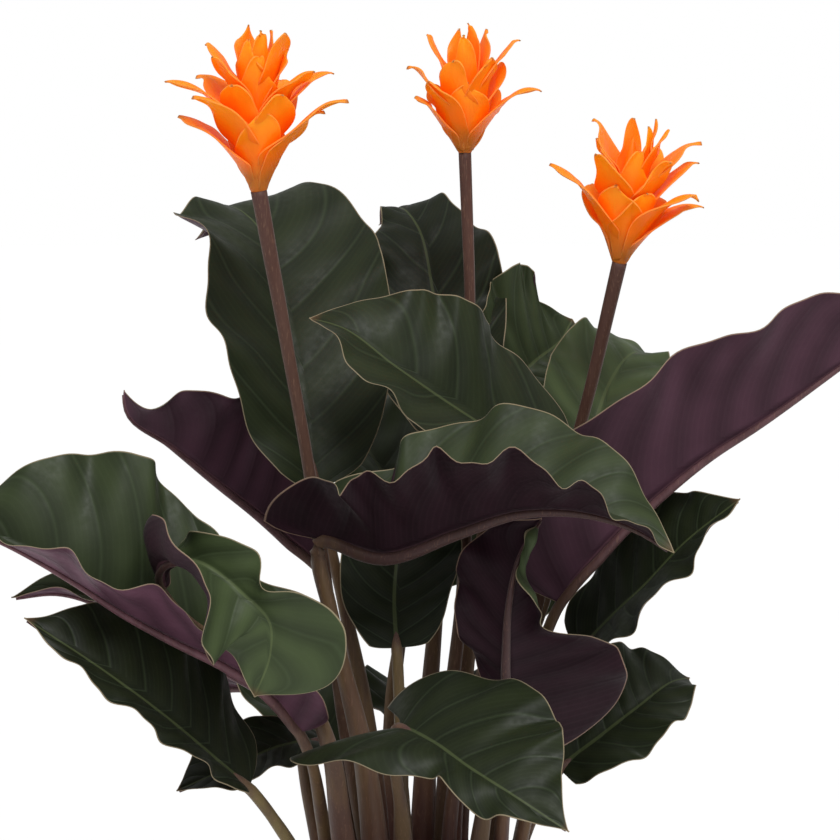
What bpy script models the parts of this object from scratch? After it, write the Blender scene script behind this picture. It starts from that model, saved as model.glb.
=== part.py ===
"""Eternal flame calathea in a plain nursery pot: leaves on their own stalks, three flower heads, soil and pot.

Run with: blender --background --python part.py
Shapes are worked out in millimetres, with +Z up and the origin under the middle of the pot, and
written to Blender in metres. The plant's front is towards -Y.
"""

import math

import bmesh
import bpy
import numpy as np

METRES = 0.001
GAP = 0.3

POT_SIDES = 26
DRAIN_RING_RADIUS = 34.0
DRAIN_RADIUS = 4.5
DRAIN_HOLES = 6

SOIL_LEVEL = 108.0
STALK_FOOT = 84.0
STALK_COLLAR = 113.0

BLADE_THICKNESS = 0.8
STALK_ROWS = 4

COLOURS = {
    "leaf": (0.035, 0.050, 0.026),
    "stalk": (0.130, 0.065, 0.045),
    "bract": (0.900, 0.200, 0.010),
    "soil": (0.030, 0.020, 0.014),
    "pot": (0.045, 0.042, 0.040),
}
ROUGHNESS = {"leaf": 0.55, "stalk": 0.5, "bract": 0.45, "soil": 0.95, "pot": 0.6}


# Shared tools

def unit(vectors):
    """Each vector at length one."""
    return vectors / np.linalg.norm(vectors, axis=-1, keepdims=True)


def material(name):
    """A Principled material in the part's colour."""
    found = bpy.data.materials.get(name)
    if found:
        return found
    made = bpy.data.materials.new(name)
    made.use_nodes = True
    shader = made.node_tree.nodes["Principled BSDF"]
    shader.inputs["Base Color"].default_value = (*COLOURS[name], 1.0)
    shader.inputs["Roughness"].default_value = ROUGHNESS[name]
    return made


def add_object(name, mesh, finish):
    """An object that shows this mesh in this finish."""
    obj = bpy.data.objects.new(name, mesh)
    bpy.context.scene.collection.objects.link(obj)
    obj.data.materials.clear()
    obj.data.materials.append(material(finish))
    return obj


def mesh_from(name, points, faces):
    """A mesh from points in millimetres."""
    mesh = bpy.data.meshes.new(name)
    mesh.from_pydata((np.asarray(points) * METRES).tolist(), [], [tuple(f) for f in faces])
    mesh.validate()
    return mesh


def smooth_line(knots, steps=16):
    """A curve through the knots: cubic pieces whose slopes come from their neighbours by chord length."""
    knots = np.array(knots, float)
    chords = np.linalg.norm(np.diff(knots, axis=0), axis=1)
    rates = np.diff(knots, axis=0) / chords[:, None]
    slopes = np.empty_like(knots)
    slopes[0], slopes[-1] = rates[0], rates[-1]
    share = (chords[:-1] / (chords[:-1] + chords[1:]))[:, None]
    slopes[1:-1] = rates[:-1] * (1 - share) + rates[1:] * share
    u = np.linspace(0, 1, steps, endpoint=False)[:, None]
    pieces = [
        (2 * u**3 - 3 * u**2 + 1) * knots[i]
        + (u**3 - 2 * u**2 + u) * chords[i] * slopes[i]
        + (3 * u**2 - 2 * u**3) * knots[i + 1]
        + (u**3 - u**2) * chords[i] * slopes[i + 1]
        for i in range(len(chords))
    ]
    return np.vstack([*pieces, knots[-1:]])


def lengths_along(line):
    """The length of the line up to each of its points."""
    return np.concatenate([[0.0], np.cumsum(np.linalg.norm(np.diff(line, axis=0), axis=1))])


def read_along(lengths, values, where):
    """Values along a line, read at some lengths."""
    return np.stack([np.interp(where, lengths, values[:, k]) for k in range(3)], axis=1)


def loft(rings):
    """Triangles that skin rings of equal count, with both ends capped. A ring's first half is its upper side."""
    rows, around = rings.shape[:2]
    half = around // 2
    faces = []
    for i in range(rows - 1):
        for k in range(around):
            a, b = i * around + k, i * around + (k + 1) % around
            c, d = a + around, b + around
            if k < half:
                faces += [(a, d, c), (a, b, d)]
            else:
                faces += [(a, b, c), (b, d, c)]
    faces.append(tuple(reversed(range(around))))
    faces.append(tuple(range((rows - 1) * around, rows * around)))
    return rings.reshape(-1, 3), faces


# Leaves

def blade_outline(t, widest):
    """Half width over greatest half width: a round base, a full middle and a drawn-out point."""
    base = np.sqrt(np.clip(1 - (1 - np.minimum(t, widest) / widest) ** 2.2, 0, 1))
    u = np.clip((t - widest) / (1 - widest), 0, 1)
    point = (1 - u**2.3) * (1 - 0.30 * u**8)
    return np.where(t < widest, base, point)


def along_blade(values, t):
    """A quantity given at the blade's base, middle and tip, read at t."""
    values = np.atleast_1d(np.array(values, float))
    return np.interp(t, np.linspace(0, 1, len(values)), values) if len(values) > 1 else values[0] + 0 * t


class Leaf:
    """One leaf: a stalk from the soil, and a blade whose halves fold, curl and wave about the midrib.

    soil is where the stalk enters the soil, stalk the points above it, and rib the midrib's points from the
    blade's base to its tip. up is the direction of the upper side at the base, middle and tip. The halves
    are (left, right), seen from above with the tip ahead: width in mm, fold and curl in degrees at base,
    middle and tip (fold lifts a half at the rib, curl bends it on towards its margin), lobe in mm that the
    base reaches back past the stalk, and waves as (height in mm, count, phase in turns).
    """

    def __init__(self, soil, stalk, rib, up, width, fold, curl=((0,), (0,)), lobe=(4, 4),
                 waves=((2.5, 3.5, 0.1), (2.5, 3.2, 0.6)), full=0.42, stem=2.2, sheath=(4.2, 2.9)):
        self.soil, self.up = np.array(soil, float), np.array(up, float)
        collar = [(*soil, STALK_COLLAR)]
        knots = [*collar, *stalk, *rib]
        self.line = smooth_line([(*soil, STALK_COLLAR - 18), *knots])[16:]
        self.lengths = lengths_along(self.line)
        base = np.argmin(np.linalg.norm(self.line - np.array(rib[0], float), axis=1))
        self.base_length, self.full_length = self.lengths[base], self.lengths[-1]
        self.width, self.fold, self.curl, self.lobe, self.waves = width, fold, curl, lobe, waves
        self.full, self.stem, self.sheath = full, stem, sheath

    def frame(self, where):
        """Place, tangent, side and upper direction at some lengths along the leaf."""
        place = read_along(self.lengths, self.line, where)
        tangents = np.gradient(self.line, self.lengths, axis=0)
        tangents[0] = (0, 0, 1)
        tangent = unit(read_along(self.lengths, tangents, where))
        inward = np.array([-self.soil[0], -self.soil[1], 0.0])
        inward = inward / max(np.linalg.norm(inward), 1e-6)
        blade = self.full_length - self.base_length
        stations = self.base_length + np.array([0, 0.5, 1.0]) * blade
        wanted = read_along(np.array([0, *stations]), np.array([inward, *unit(self.up)]), where)
        side = unit(np.cross(tangent, wanted))
        return place, tangent, side, np.cross(side, tangent)

    def blade(self, t, s):
        """Points of the upper surface: t runs from base to tip, s from the left margin (-1) to the right (1)."""
        t, s = np.broadcast_arrays(t, s)
        shape = t.shape
        t, s = t.ravel(), s.ravel()
        a = np.abs(s)
        side_name = (s > 0).astype(int)
        pick = lambda pair: np.where(side_name == 1, along_blade(pair[1], t), along_blade(pair[0], t))
        where = self.base_length + t * (self.full_length - self.base_length)
        place, tangent, side, upward = self.frame(where)
        half = np.maximum(pick(self.width) * blade_outline(t, self.full), 0.45)
        fold, bend = np.radians(pick(self.fold)), np.radians(pick(self.curl))
        bend = np.where(np.abs(bend) < 1e-3, 1e-3, bend)
        out = half * (np.sin(fold + bend * a) - np.sin(fold)) / bend
        lift = half * (np.cos(fold) - np.cos(fold + bend * a)) / bend
        theta = fold + bend * a
        height, count, phase = (np.where(side_name == 1, self.waves[1][k], self.waves[0][k]) for k in range(3))
        envelope = np.clip(np.sin(math.pi * np.clip(t, 0, 1) ** 0.8), 0, 1) ** 0.6
        ripple = height * a**1.8 * envelope * np.sin(2 * math.pi * (count * t + phase))
        out = out - ripple * np.sin(theta)
        lift = lift + ripple * np.cos(theta)
        back = pick(self.lobe) * a**1.5 * np.clip(1 - t, 0, 1) ** 4 * np.clip(t / 0.05, 0, 1)
        sweep = 0.30 * half * a**2 * np.clip(np.sin(math.pi * t), 0, 1)
        points = (
            place
            + side * (np.sign(s) * out)[:, None]
            + upward * lift[:, None]
            + tangent * (sweep - back)[:, None]
        )
        return points.reshape(*shape, 3)

    def rings(self, columns, stalk_rows, blade_rows):
        """Rings of the whole leaf, stalk first. columns are the places across one half, rib excluded."""
        across = np.array([-c for c in reversed(columns)] + [0.0] + list(columns))
        count = len(across)
        angle = math.pi - (np.arange(count) + 0.5) * math.pi / count
        where = np.concatenate([[0.0], np.linspace(0, self.base_length, stalk_rows + 1)[1:]])
        place, _, side, upward = self.frame(where)
        slim = np.clip(where / (0.75 * self.base_length), 0, 1) ** 0.8
        wide = self.sheath[0] + (self.stem - self.sheath[0]) * slim
        deep = self.sheath[1] + (self.stem - self.sheath[1]) * slim
        outer = np.concatenate([angle, -angle[::-1]])
        stalk = (
            place[:, None]
            + side[:, None] * (wide[:, None] * np.cos(outer))[..., None]
            + upward[:, None] * (deep[:, None] * np.sin(outer))[..., None]
        )
        foot = stalk[:1] - [0, 0, STALK_COLLAR - STALK_FOOT]
        even = np.linspace(0, 1, blade_rows + 1)[1:]
        t = 0.55 * even + 0.45 * (1 - np.cos(math.pi * even)) / 2
        top = self.blade(t[:, None], across[None, :])
        normal = self.normals(t[:, None], across[None, :])
        depth = np.full((len(t), count), BLADE_THICKNESS)
        depth[:, count // 2] = np.maximum(BLADE_THICKNESS, 2 * self.stem * (1 - t) ** 1.1)
        under = top - normal * depth[..., None]
        rings = np.concatenate([top, under[:, ::-1]], axis=1)
        return np.concatenate([foot, stalk, rings])

    def normals(self, t, s):
        """Upper normals of the blade, from its slopes along and across."""
        step = 2e-3
        along = self.blade(np.clip(t + step, 0, 1), s) - self.blade(np.clip(t - step, 0, 1), s)
        across = self.blade(t, np.clip(s + step, -1, 1)) - self.blade(t, np.clip(s - step, -1, 1))
        return unit(np.cross(across, along) + 1e-12)


# Places across half a blade, and rows along it.
FINE, PLAIN = ((0.14, 0.57, 1.0), 12), ((0.5, 1.0), 9)

LEAVES = {
    # The tall leaf behind the left flower stalk; its tip hangs over backwards.
    "leaf_tall_left": (FINE, Leaf(
        soil=(-14, 13), stalk=[(-20, 13, 180), (-31, 11, 235)],
        rib=[(-39, 14, 269), (-46, 30, 305), (-54, 48, 339), (-64, 72, 367), (-78, 92, 373), (-90, 104, 359)],
        up=[(0.2, -1, 0.2), (0.1, -0.95, 0.4), (-0.2, 0.3, 1)],
        width=((28, 37, 14), (40, 47, 38)), fold=((36, 48, 20), (10, 5, 5)), curl=((-20, -14, -20), (10, 0, -20)), full=0.48,
        waves=((3, 3.5, 0.1), (2.5, 3.2, 0.6)))),
    # The rounded upright leaf at the back.
    "leaf_tall_back": (PLAIN, Leaf(
        soil=(1, 17), stalk=[(4, 24, 180), (9, 36, 240)],
        rib=[(12, 46, 284), (10, 58, 311), (6, 72, 340), (0, 90, 365), (-8, 108, 372), (-16, 122, 364)],
        up=[(0, -1, 0.2), (0, -0.95, 0.4), (0, 0.1, 1)],
        width=(27, (29, 29, 23)), fold=((8,), (12,)), curl=((0, -10, -20), (0, -10, -20)), full=0.48)),
    # Two small leaves behind the middle one, on the right.
    "leaf_small_back": (PLAIN, Leaf(
        soil=(12, 20), stalk=[(17, 34, 180), (26, 52, 250)],
        rib=[(32, 62, 298), (46, 72, 312), (58, 84, 321), (62, 90, 328)],
        up=[(-0.3, -0.85, 0.4)] * 3,
        width=(38, 16), fold=((5,), (45,)), waves=((2, 2.5, 0.1), (2, 2.5, 0.6)), full=0.55)),
    "leaf_back_right": (PLAIN, Leaf(
        soil=(24, 17), stalk=[(34, 19, 180), (54, 19, 240)],
        rib=[(62, 20, 270), (68, 30, 290), (75, 44, 307), (85, 62, 317), (97, 82, 311)],
        up=[(0, -1, 0.3), (0, -0.9, 0.5), (0.2, 0.1, 1)],
        width=(25, 24), fold=((12,), (12,)))),
    # The broad leaf in the middle, its tip to the left.
    "leaf_broad_middle": (FINE, Leaf(
        soil=(11, -3), stalk=[(16, -2, 170), (37, 4, 232)],
        rib=[(51, 4, 279), (22, -7, 297), (-8, -13, 318), (-29, -11, 333), (-41, -6, 336)],
        up=[(-0.1, -0.7, 0.7), (-0.2, -0.85, 0.5), (-0.2, -0.7, 0.7)],
        width=(24, (44, 38, 34)), fold=((50, 48, 40), (5, 5, 0)), curl=((-10,), (-10, -15, -20)), full=0.4)),
    # The large leaf across the front, folded like a boat.
    "leaf_boat_front": (FINE, Leaf(
        soil=(-15, -25), stalk=[(-20, -27, 170), (-32, -31, 225)],
        rib=[(-36, -34, 255), (-12, -46, 252), (14, -55, 262), (37, -62, 270), (63, -68, 270), (81, -72, 264), (93, -74, 256)],
        up=[(0, -0.25, 1), (0, -0.25, 1), (0.3, -0.4, 0.9)],
        width=((42, 41, 32), (46, 42, 37)), fold=((74, 50, 30), (72, 63, 34)), curl=((-10, -20, -20), (-15,)), lobe=(8, 22),
        waves=((3, 3.2, 0.1), (2.5, 2.5, 0.0)), full=0.4)),
    # The folded leaf on the left, its underside to the front.
    "leaf_folded_left": (FINE, Leaf(
        soil=(-24, 20), stalk=[(-26, 42, 160), (-33, 64, 205)],
        rib=[(-40, 70, 230), (-52, 64, 243), (-61, 58, 252), (-79, 46, 268), (-96, 32, 284), (-112, 22, 298), (-113, 20, 306)],
        up=[(0.6, 0, 0.8), (0.6, 0, 0.8), (0.5, -0.2, 0.8)],
        width=(45, (24, 20, 8)), fold=((86, 84, 56), (60,)), curl=((-15,), (-10,)), lobe=(4, 0),
        waves=((2, 3.5, 0.1), (2, 3.2, 0.6)), full=0.5)),
    # The long leaf on the lower left; its far half stands up and shows the green side.
    "leaf_long_left": (FINE, Leaf(
        soil=(-33, -10), stalk=[(-36, -26, 148)],
        rib=[(-44, -52, 186), (-54, -60, 202), (-69, -68, 214), (-89, -74, 225), (-106, -78, 235), (-124, -80, 247), (-150, -79, 261), (-172, -72, 268)],
        up=[(0, -0.3, 0.9)] * 3,
        width=(32, (56, 56, 66)), fold=((50, 48, 42), (62, 65, 55)), curl=((-10,), (-25,)),
        waves=((2.5, 3.5, 0.1), (3, 2.6, 0.75)), full=0.35)),
    # A small pointed leaf behind it.
    "leaf_pointed_left": (PLAIN, Leaf(
        soil=(-36, 5), stalk=[(-42, 4, 150)],
        rib=[(-50, -3, 186), (-81, -26, 211), (-110, -42, 230), (-134, -48, 238), (-150, -50, 236)],
        up=[(0.2, -0.2, 1)] * 3,
        width=(17, 20), fold=((25,), (40,)), waves=((1.5, 2.5, 0.1), (1.5, 2.5, 0.6)))),
    # The curled leaf on the left: it turns back towards the middle and bends down at the front.
    "leaf_curled_left": (FINE, Leaf(
        soil=(-25, -31), stalk=[(-29, -38, 150), (-33, -47.5, 180), (-40, -56.8, 198), (-52, -62.8, 209.5), (-66, -69.8, 220.5), (-82, -76.5, 231)],
        rib=[(-92, -83, 244), (-90, -95, 256), (-77, -106, 257), (-62, -112, 247), (-52, -114, 236), (-52, -113, 226), (-58, -108, 209)],
        up=[(0.3, 0, 1), (0.1, -0.9, 0.5), (0, -0.95, -0.3)],
        width=((20, 24, 28, 24, 18), (30, 28, 24, 22, 18)), fold=((40, 35, 25, 10, 0), (20, 15, 15, 5, 0)),
        curl=((-10, -10, -20, -20, -20), (110, 100, 40, 0, -20)),
        waves=((2, 2.5, 0.1), (1.5, 2.7, 0.6)), full=0.5)),
    # The dark leaf low on the left.
    "leaf_low_left": (FINE, Leaf(
        soil=(-31, -42), stalk=[(-45, -50, 140)],
        rib=[(-62, -62, 167), (-77, -76, 181), (-94, -86, 197), (-115, -92, 214), (-141, -92, 235)],
        up=[(0.2, -0.7, 0.7)] * 3,
        width=(17, (44, 40, 34)), fold=((40,), (5,)), curl=((-10,), (-10,)))),
    # The low leaf at the front, coming forward and to the right.
    "leaf_low_front": (FINE, Leaf(
        soil=(-4, -31), stalk=[(-6, -37, 150)],
        rib=[(-7, -48, 184), (3, -66, 185), (17, -86, 179), (36, -100, 169), (54, -106, 159)],
        up=[(0.1, -0.3, 0.95), (0, -0.55, 0.85), (0.2, -0.9, 0.4)],
        width=(44, (50, 30, 22)), fold=((25, 15, 5), (12, 5, 0)), curl=((-10,), (-20,)), lobe=(10, 5), full=0.3)),
    # The dark leaf on the right.
    "leaf_dark_right": (PLAIN, Leaf(
        soil=(37, 3), stalk=[(46, 10, 160)],
        rib=[(63, 18, 205), (75, 8, 221), (86, -4, 234), (101, -14, 252), (121, -20, 269)],
        up=[(-0.3, -0.75, 0.6)] * 3,
        width=(27, (28, 22, 14)), fold=((10,), (25,)), curl=((-10,), (10,)))),
    # The small round leaf low on the right.
    "leaf_round_right": (FINE, Leaf(
        soil=(35, 16), stalk=[(42, 18, 135)],
        rib=[(55, 20, 158), (71, 22, 171), (86, 26, 182), (99, 34, 190), (107, 44, 190)],
        up=[(-0.2, -0.8, 0.55), (-0.2, -0.8, 0.55), (0, -0.6, 0.8)],
        width=(27, 19), fold=((12,), (15,)), curl=((-10,), (-10,)))),
    # The upright leaf at the front, its underside outwards.
    "leaf_upright_front": (FINE, Leaf(
        soil=(21, -21), stalk=[(25, -22, 150)],
        rib=[(33, -27, 188), (33, -36, 212), (34, -42, 233), (38, -42, 251), (46, -38, 264)],
        up=[(0.1, 0.95, 0.3), (0.1, 0.95, 0.3), (0.3, 0.6, 0.7)],
        width=((54, 18, 12), (8, 24, 38)), fold=((20,), (25,)), curl=((0, -40, -120), (-10,)), lobe=(12, 0), full=0.3)),
    # The long folded leaf reaching out on the right.
    "leaf_long_right": (FINE, Leaf(
        soil=(31, -9), stalk=[(34, -10, 160), (45, -8, 205)],
        rib=[(54, -6, 227), (71, -11, 250), (93, -15, 272), (109, -16, 285), (127, -18, 297), (158, -17, 319), (184, -12, 337), (204, -5, 347)],
        up=[(-0.5, -0.1, 0.85)] * 3,
        width=(24, (56, 43, 46)), fold=((60,), (80, 76, 60)), curl=((-10,), (-20,)), lobe=(0, 12),
        waves=((2, 3, 0.1), (2.5, 3, 0.35)), full=0.4)),
    # A dark upright leaf in the middle of the clump.
    "leaf_inner": (PLAIN, Leaf(
        soil=(-5, -7), stalk=[(-6, -10, 160)],
        rib=[(-8, -12, 211), (-9, -6, 228), (-8, 4, 246), (-8, 14, 262), (-8, 20, 274)],
        up=[(0, -1, 0.2), (0, -1, 0.2), (0, -0.7, 0.6)],
        width=(22, 25), fold=((15,), (15,)), waves=((1.5, 2.5, 0.1), (1.5, 2.5, 0.6)))),
    # A drooping leaf low on the left.
    "leaf_drooping_left": (PLAIN, Leaf(
        soil=(-26, -3), stalk=[(-27, -5, 155)],
        rib=[(-36, -12, 175), (-50, -22, 176), (-67, -32, 171), (-80, -38, 166), (-90, -42, 162)],
        up=[(-0.1, -0.5, 0.85)] * 3,
        width=(14, 18), fold=((5,), (5,)), waves=((1.5, 2.5, 0.1), (1.5, 2.5, 0.6)))),
    # Six leaves at the rear.
    "leaf_rear_left": (PLAIN, Leaf(
        soil=(-11, 32), stalk=[(-10, 42, 180)],
        rib=[(-5, 61.5, 244), (-16, 81.5, 270), (-30, 104, 284), (-44, 128, 288), (-54, 146, 280)],
        up=[(0.1, -0.6, 0.8), (0, 0, 1), (-0.3, 0.5, 0.8)],
        width=((18, 27, 27), (18, 27, 29)), fold=((20,), (20,)))),
    "leaf_rear_right": (PLAIN, Leaf(
        soil=(15, 32), stalk=[(20, 38, 165)],
        rib=[(33.5, 48, 210), (47, 68, 232), (60, 94, 246), (72, 118, 248), (82, 138, 238)],
        up=[(-0.1, -0.6, 0.8), (0, 0, 1), (0.3, 0.5, 0.8)],
        width=(29, 31), fold=((20,), (20,)))),
    "leaf_rear_low_left": (PLAIN, Leaf(
        soil=(-22, 34), stalk=[(-27, 44, 140)],
        rib=[(-34, 56, 160), (-50, 74, 174), (-68, 94, 178), (-86, 112, 172), (-100, 124, 158)],
        up=[(0.1, -0.4, 0.9), (0, 0, 1), (-0.3, 0.5, 0.8)],
        width=(28, 28), fold=((20,), (20,)))),
    "leaf_rear_low_right": (PLAIN, Leaf(
        soil=(27, 30), stalk=[(31, 40, 140)],
        rib=[(38, 54, 164), (54, 72, 178), (72, 90, 182), (88, 104, 176), (98, 116, 164)],
        up=[(-0.1, -0.4, 0.9), (0, 0, 1), (0.3, 0.5, 0.8)],
        width=(27, 27), fold=((20,), (20,)))),
    "leaf_rear_middle": (PLAIN, Leaf(
        soil=(3, 30), stalk=[(4, 40, 175)],
        rib=[(7, 60, 223), (11, 86, 250), (15, 114, 262), (20, 140, 258), (23, 160, 244)],
        up=[(0, -0.6, 0.8), (0, 0, 1), (0.1, 0.5, 0.8)],
        width=(31, (22, 28, 30)), fold=((20,), (20,)))),
    "leaf_rear_low_middle": (PLAIN, Leaf(
        soil=(2, 42), stalk=[(2, 50, 138)],
        rib=[(2, 66, 162), (2, 90, 172), (2, 114, 170), (2, 136, 156)],
        up=[(0, -0.4, 0.9), (0, 0, 1), (0.1, 0.5, 0.8)],
        width=(28, 28), fold=((20,), (20,)))),
}


def add_leaf(name, grid, leaf):
    """The leaf as one closed body, stalk, midrib and blade."""
    columns, blade_rows = grid
    rings = leaf.rings(columns, STALK_ROWS, blade_rows)
    return add_object(name, mesh_from(name, *loft(rings)), "leaf")


# Flower stalks and heads

STALK_SIDES = 8
STALK_ROWS_TALL = 9
STALK_RADIUS = (3.0, 2.1)
HEAD_GAP = 0.3

FLOWERS = {
    # name: soil, stalk points up to the head, head's turn in degrees and its size
    "left": ((-16, -12), [(-28, -12, 184), (-35, -16, 238), (-40, -18, 274), (-50, -22, 333), (-59, -28, 385)], 0, 1.0),
    "middle": ((8, 8), [(12, 12, 180), (17, 14, 227), (20, 20, 296), (20, 24, 339), (18, 26, 397)], -12, 0.82),
    "right": ((26, 2), [(38, 6, 193), (48, 8, 234), (54, 8, 265), (63, 4, 298), (76, -6, 357)], 14, 0.9),
}

# Bracts in tiers from the foot of the head up: how many, turn of the first in degrees, the line of the
# bract from its foot to its tip as (distance from the axis, height), and its greatest width.
TIERS = (
    (3, -150, ((3.0, 1.5), (8.5, 9.0), (14.0, 18.0), (22.0, 25.0), (31.0, 28.5)), 24.0),
    (4, 5, ((3.0, 5.0), (8.0, 17.0), (13.5, 29.0), (22.0, 38.0), (33.0, 41.5)), 22.0),
    (3, -110, ((3.0, 13.0), (7.0, 26.0), (12.0, 37.0), (18.0, 44.5), (25.0, 47.5)), 18.0),
    (3, -30, ((3.0, 22.0), (5.5, 35.0), (8.5, 45.0), (12.0, 51.5), (16.0, 55.0)), 15.0),
    (3, 60, ((1.0, 32.0), (2.8, 44.0), (4.2, 53.0), (5.2, 58.0), (6.0, 62.0)), 10.0),
)
BRACT_SHAPE = ((0.0, 0.45), (0.3, 0.9), (0.55, 1.0), (0.8, 0.62), (1.0, 0.10))
BRACT_THICKNESS = 1.3
CORE = ((0.0, 3.0), (2.5, 3.8), (8.0, 5.6), (18.0, 5.8), (30.0, 4.4), (42.0, 2.6), (50.0, 1.2))


def tube(knots, radii, sides, rows):
    """Rings of a round tube through the knots."""
    line = smooth_line(knots)
    lengths = lengths_along(line)
    where = np.linspace(0, lengths[-1], rows)
    place = read_along(lengths, line, where)
    tangent = unit(read_along(lengths, np.gradient(line, lengths, axis=0), where))
    tangent[0] = (0, 0, 1)
    side = unit(np.cross(tangent, (0, -1, 0)))
    other = np.cross(side, tangent)
    radius = np.linspace(*radii, rows)[:, None, None]
    angle = (math.pi - (np.arange(sides) + 0.5) * 2 * math.pi / sides)[None, :, None]
    rings = place[:, None] + radius * (side[:, None] * np.cos(angle) + other[:, None] * np.sin(angle))
    return rings, place[-1], tangent[-1]


def bract_rings(line, width, turn):
    """Rings of one bract: cupped about the head's axis, thin and pointed."""
    line = smooth_line([(r, 0, h) for r, h in line], 8)
    lengths = lengths_along(line) / lengths_along(line)[-1]
    rows = np.array([0, 0.34, 0.7, 1.0])
    centre = read_along(lengths, line, rows)
    tangent = unit(read_along(lengths, np.gradient(line, lengths, axis=0), rows))
    inward = np.stack([-tangent[:, 2], tangent[:, 1], tangent[:, 0]], axis=1)
    half = width / 2 * np.interp(rows, *np.array(BRACT_SHAPE).T)
    rings = []
    for c, n, w in zip(centre, inward, half):
        thick = BRACT_THICKNESS * min(1.0, w / 2.0 + 0.35)
        ring = []
        for lift, order in ((0.5, (1, 0, -1)), (-0.5, (-1, 0, 1))):
            for q in order:
                x, _, z = c + n * lift * thick
                spread = q * w / max(1.25 * x, 6.0)
                reach = x + 0.10 * w * abs(q) * (1 if x > 12 else 0)
                ring.append((reach * math.cos(spread), reach * math.sin(spread) * 1.0, z + 0.18 * w * abs(q)))
        rings.append(ring)
    rings = np.array(rings)
    a = math.radians(turn)
    spin = np.array([[math.cos(a), math.sin(a), 0], [-math.sin(a), math.cos(a), 0], [0, 0, 1]])
    return rings @ spin


def joined(name, rings_list, finish):
    """One solid from several that overlap."""
    pieces = []
    for k, rings in enumerate(rings_list):
        pieces.append(add_object(f"{name}_piece_{k}", mesh_from(name, *loft(rings)), finish))
    first, rest = pieces[0], pieces[1:]
    group = bpy.data.collections.new(name + "_bracts")
    for piece in rest:
        group.objects.link(piece)
    union = first.modifiers.new("union", "BOOLEAN")
    union.operand_type, union.collection = "COLLECTION", group
    union.operation, union.solver, union.use_self = "UNION", "EXACT", True
    bpy.context.view_layer.update()
    graph = bpy.context.evaluated_depsgraph_get()
    mesh = bpy.data.meshes.new_from_object(first.evaluated_get(graph))
    for piece in pieces:
        bpy.data.objects.remove(piece, do_unlink=True)
    bpy.data.collections.remove(group)
    keep_outer_shell(mesh)
    return add_object(name, mesh, finish)


def keep_outer_shell(mesh):
    """Leave only the largest shell of a mesh, so that no sealed hollow stays inside it."""
    shape = bmesh.new()
    shape.from_mesh(mesh)
    bmesh.ops.triangulate(shape, faces=shape.faces[:])
    bmesh.ops.remove_doubles(shape, verts=shape.verts[:], dist=0.02 * METRES)
    bmesh.ops.dissolve_degenerate(shape, edges=shape.edges[:], dist=0.02 * METRES)
    unseen = set(shape.faces)
    shells = []
    while unseen:
        front = [unseen.pop()]
        shell = list(front)
        while front:
            near = {other for edge in front.pop().edges for other in edge.link_faces} & unseen
            unseen -= near
            front += near
            shell += near
        shells.append(shell)
    shells.sort(key=len)
    for shell in shells[:-1]:
        bmesh.ops.delete(shape, geom=shell, context="FACES")
    shape.to_mesh(mesh)
    shape.free()


def add_flower(name, soil, points, turn, size):
    """A flower stalk that stands in the soil, and the head on its end."""
    knots = [(*soil, STALK_COLLAR), *points]
    rings, top, axis = tube(knots, STALK_RADIUS, STALK_SIDES, STALK_ROWS_TALL)
    foot = rings[:1] - [0, 0, STALK_COLLAR - STALK_FOOT]
    add_object("flower_stalk_" + name, mesh_from(name, *loft(np.concatenate([foot, rings]))), "stalk")
    angle = (np.arange(STALK_SIDES) + 0.5) * 2 * math.pi / STALK_SIDES
    core = np.array([[(r * math.cos(a), r * math.sin(a), h) for a in angle] for h, r in CORE])
    bracts = []
    for count, first, line, width in TIERS:
        for k in range(count):
            rise = 0.9 * k
            raised = [(r, h + rise) for r, h in line]
            bracts.append(bract_rings(raised, width, turn + first + 360 * k / count + 9 * math.sin(2.1 * k + first)))
    side = unit(np.cross(axis, (0, -1, 0)))
    frame = np.array([side, np.cross(axis, side), axis])
    place = lambda rings: rings * size @ frame + top + axis * HEAD_GAP
    return joined("flower_head_" + name, [place(core[:, ::1]), *map(place, bracts)], "bract")


# Soil and pot

POT_PROFILE = (
    # radius and height, up the outside and down the inside
    (48.6, 0.0), (50.0, 1.4), (64.9, 100.8), (67.9, 103.0), (68.8, 118.0), (70.0, 118.8), (69.6, 120.0),
    (67.2, 120.0), (66.2, 118.6), (65.4, 104.4), (63.0, 102.4), (47.0, 2.6),
)
SOIL_PROFILE = (
    (46.5, 3.0), (62.5, 102.5), (64.9, 104.5), (65.1, 107.2), (56.0, 108.6), (20.0, 109.4),
)


def turned(profile):
    """Rings of a shape turned about the pot's axis."""
    angle = (np.arange(POT_SIDES) + 0.5) * 2 * math.pi / POT_SIDES
    return np.array([[(r * math.cos(a), r * math.sin(a), z) for a in angle] for r, z in profile])


def cut(obj, cutters, name):
    """Take the cutters away from the object, as a modifier."""
    points, faces = [], []
    for rings in cutters:
        p, f = loft(rings)
        faces += [tuple(i + sum(map(len, points)) for i in face) for face in f]
        points.append(p)
    cutter = add_object(name, mesh_from(name, np.vstack(points), faces), "soil")
    cutter.hide_render = True
    bore = obj.modifiers.new("holes", "BOOLEAN")
    bore.object, bore.operation, bore.solver = cutter, "DIFFERENCE", "EXACT"


def add_pot():
    """The pot: a turned shell with a ring of drain holes in its floor."""
    rings = turned(POT_PROFILE)
    pot = add_object("pot", mesh_from("pot", *loft(rings)), "pot")
    drains = []
    for k in range(DRAIN_HOLES):
        a = 2 * math.pi * k / DRAIN_HOLES
        x, y = DRAIN_RING_RADIUS * math.cos(a), DRAIN_RING_RADIUS * math.sin(a)
        turn = np.arange(10) * math.pi / 5
        drains.append(np.array([[(x + DRAIN_RADIUS * math.cos(b), y + DRAIN_RADIUS * math.sin(b), z)
                                 for b in turn] for z in (-2.0, 5.0)]))
    cut(pot, drains, "drain_cutter")


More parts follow.
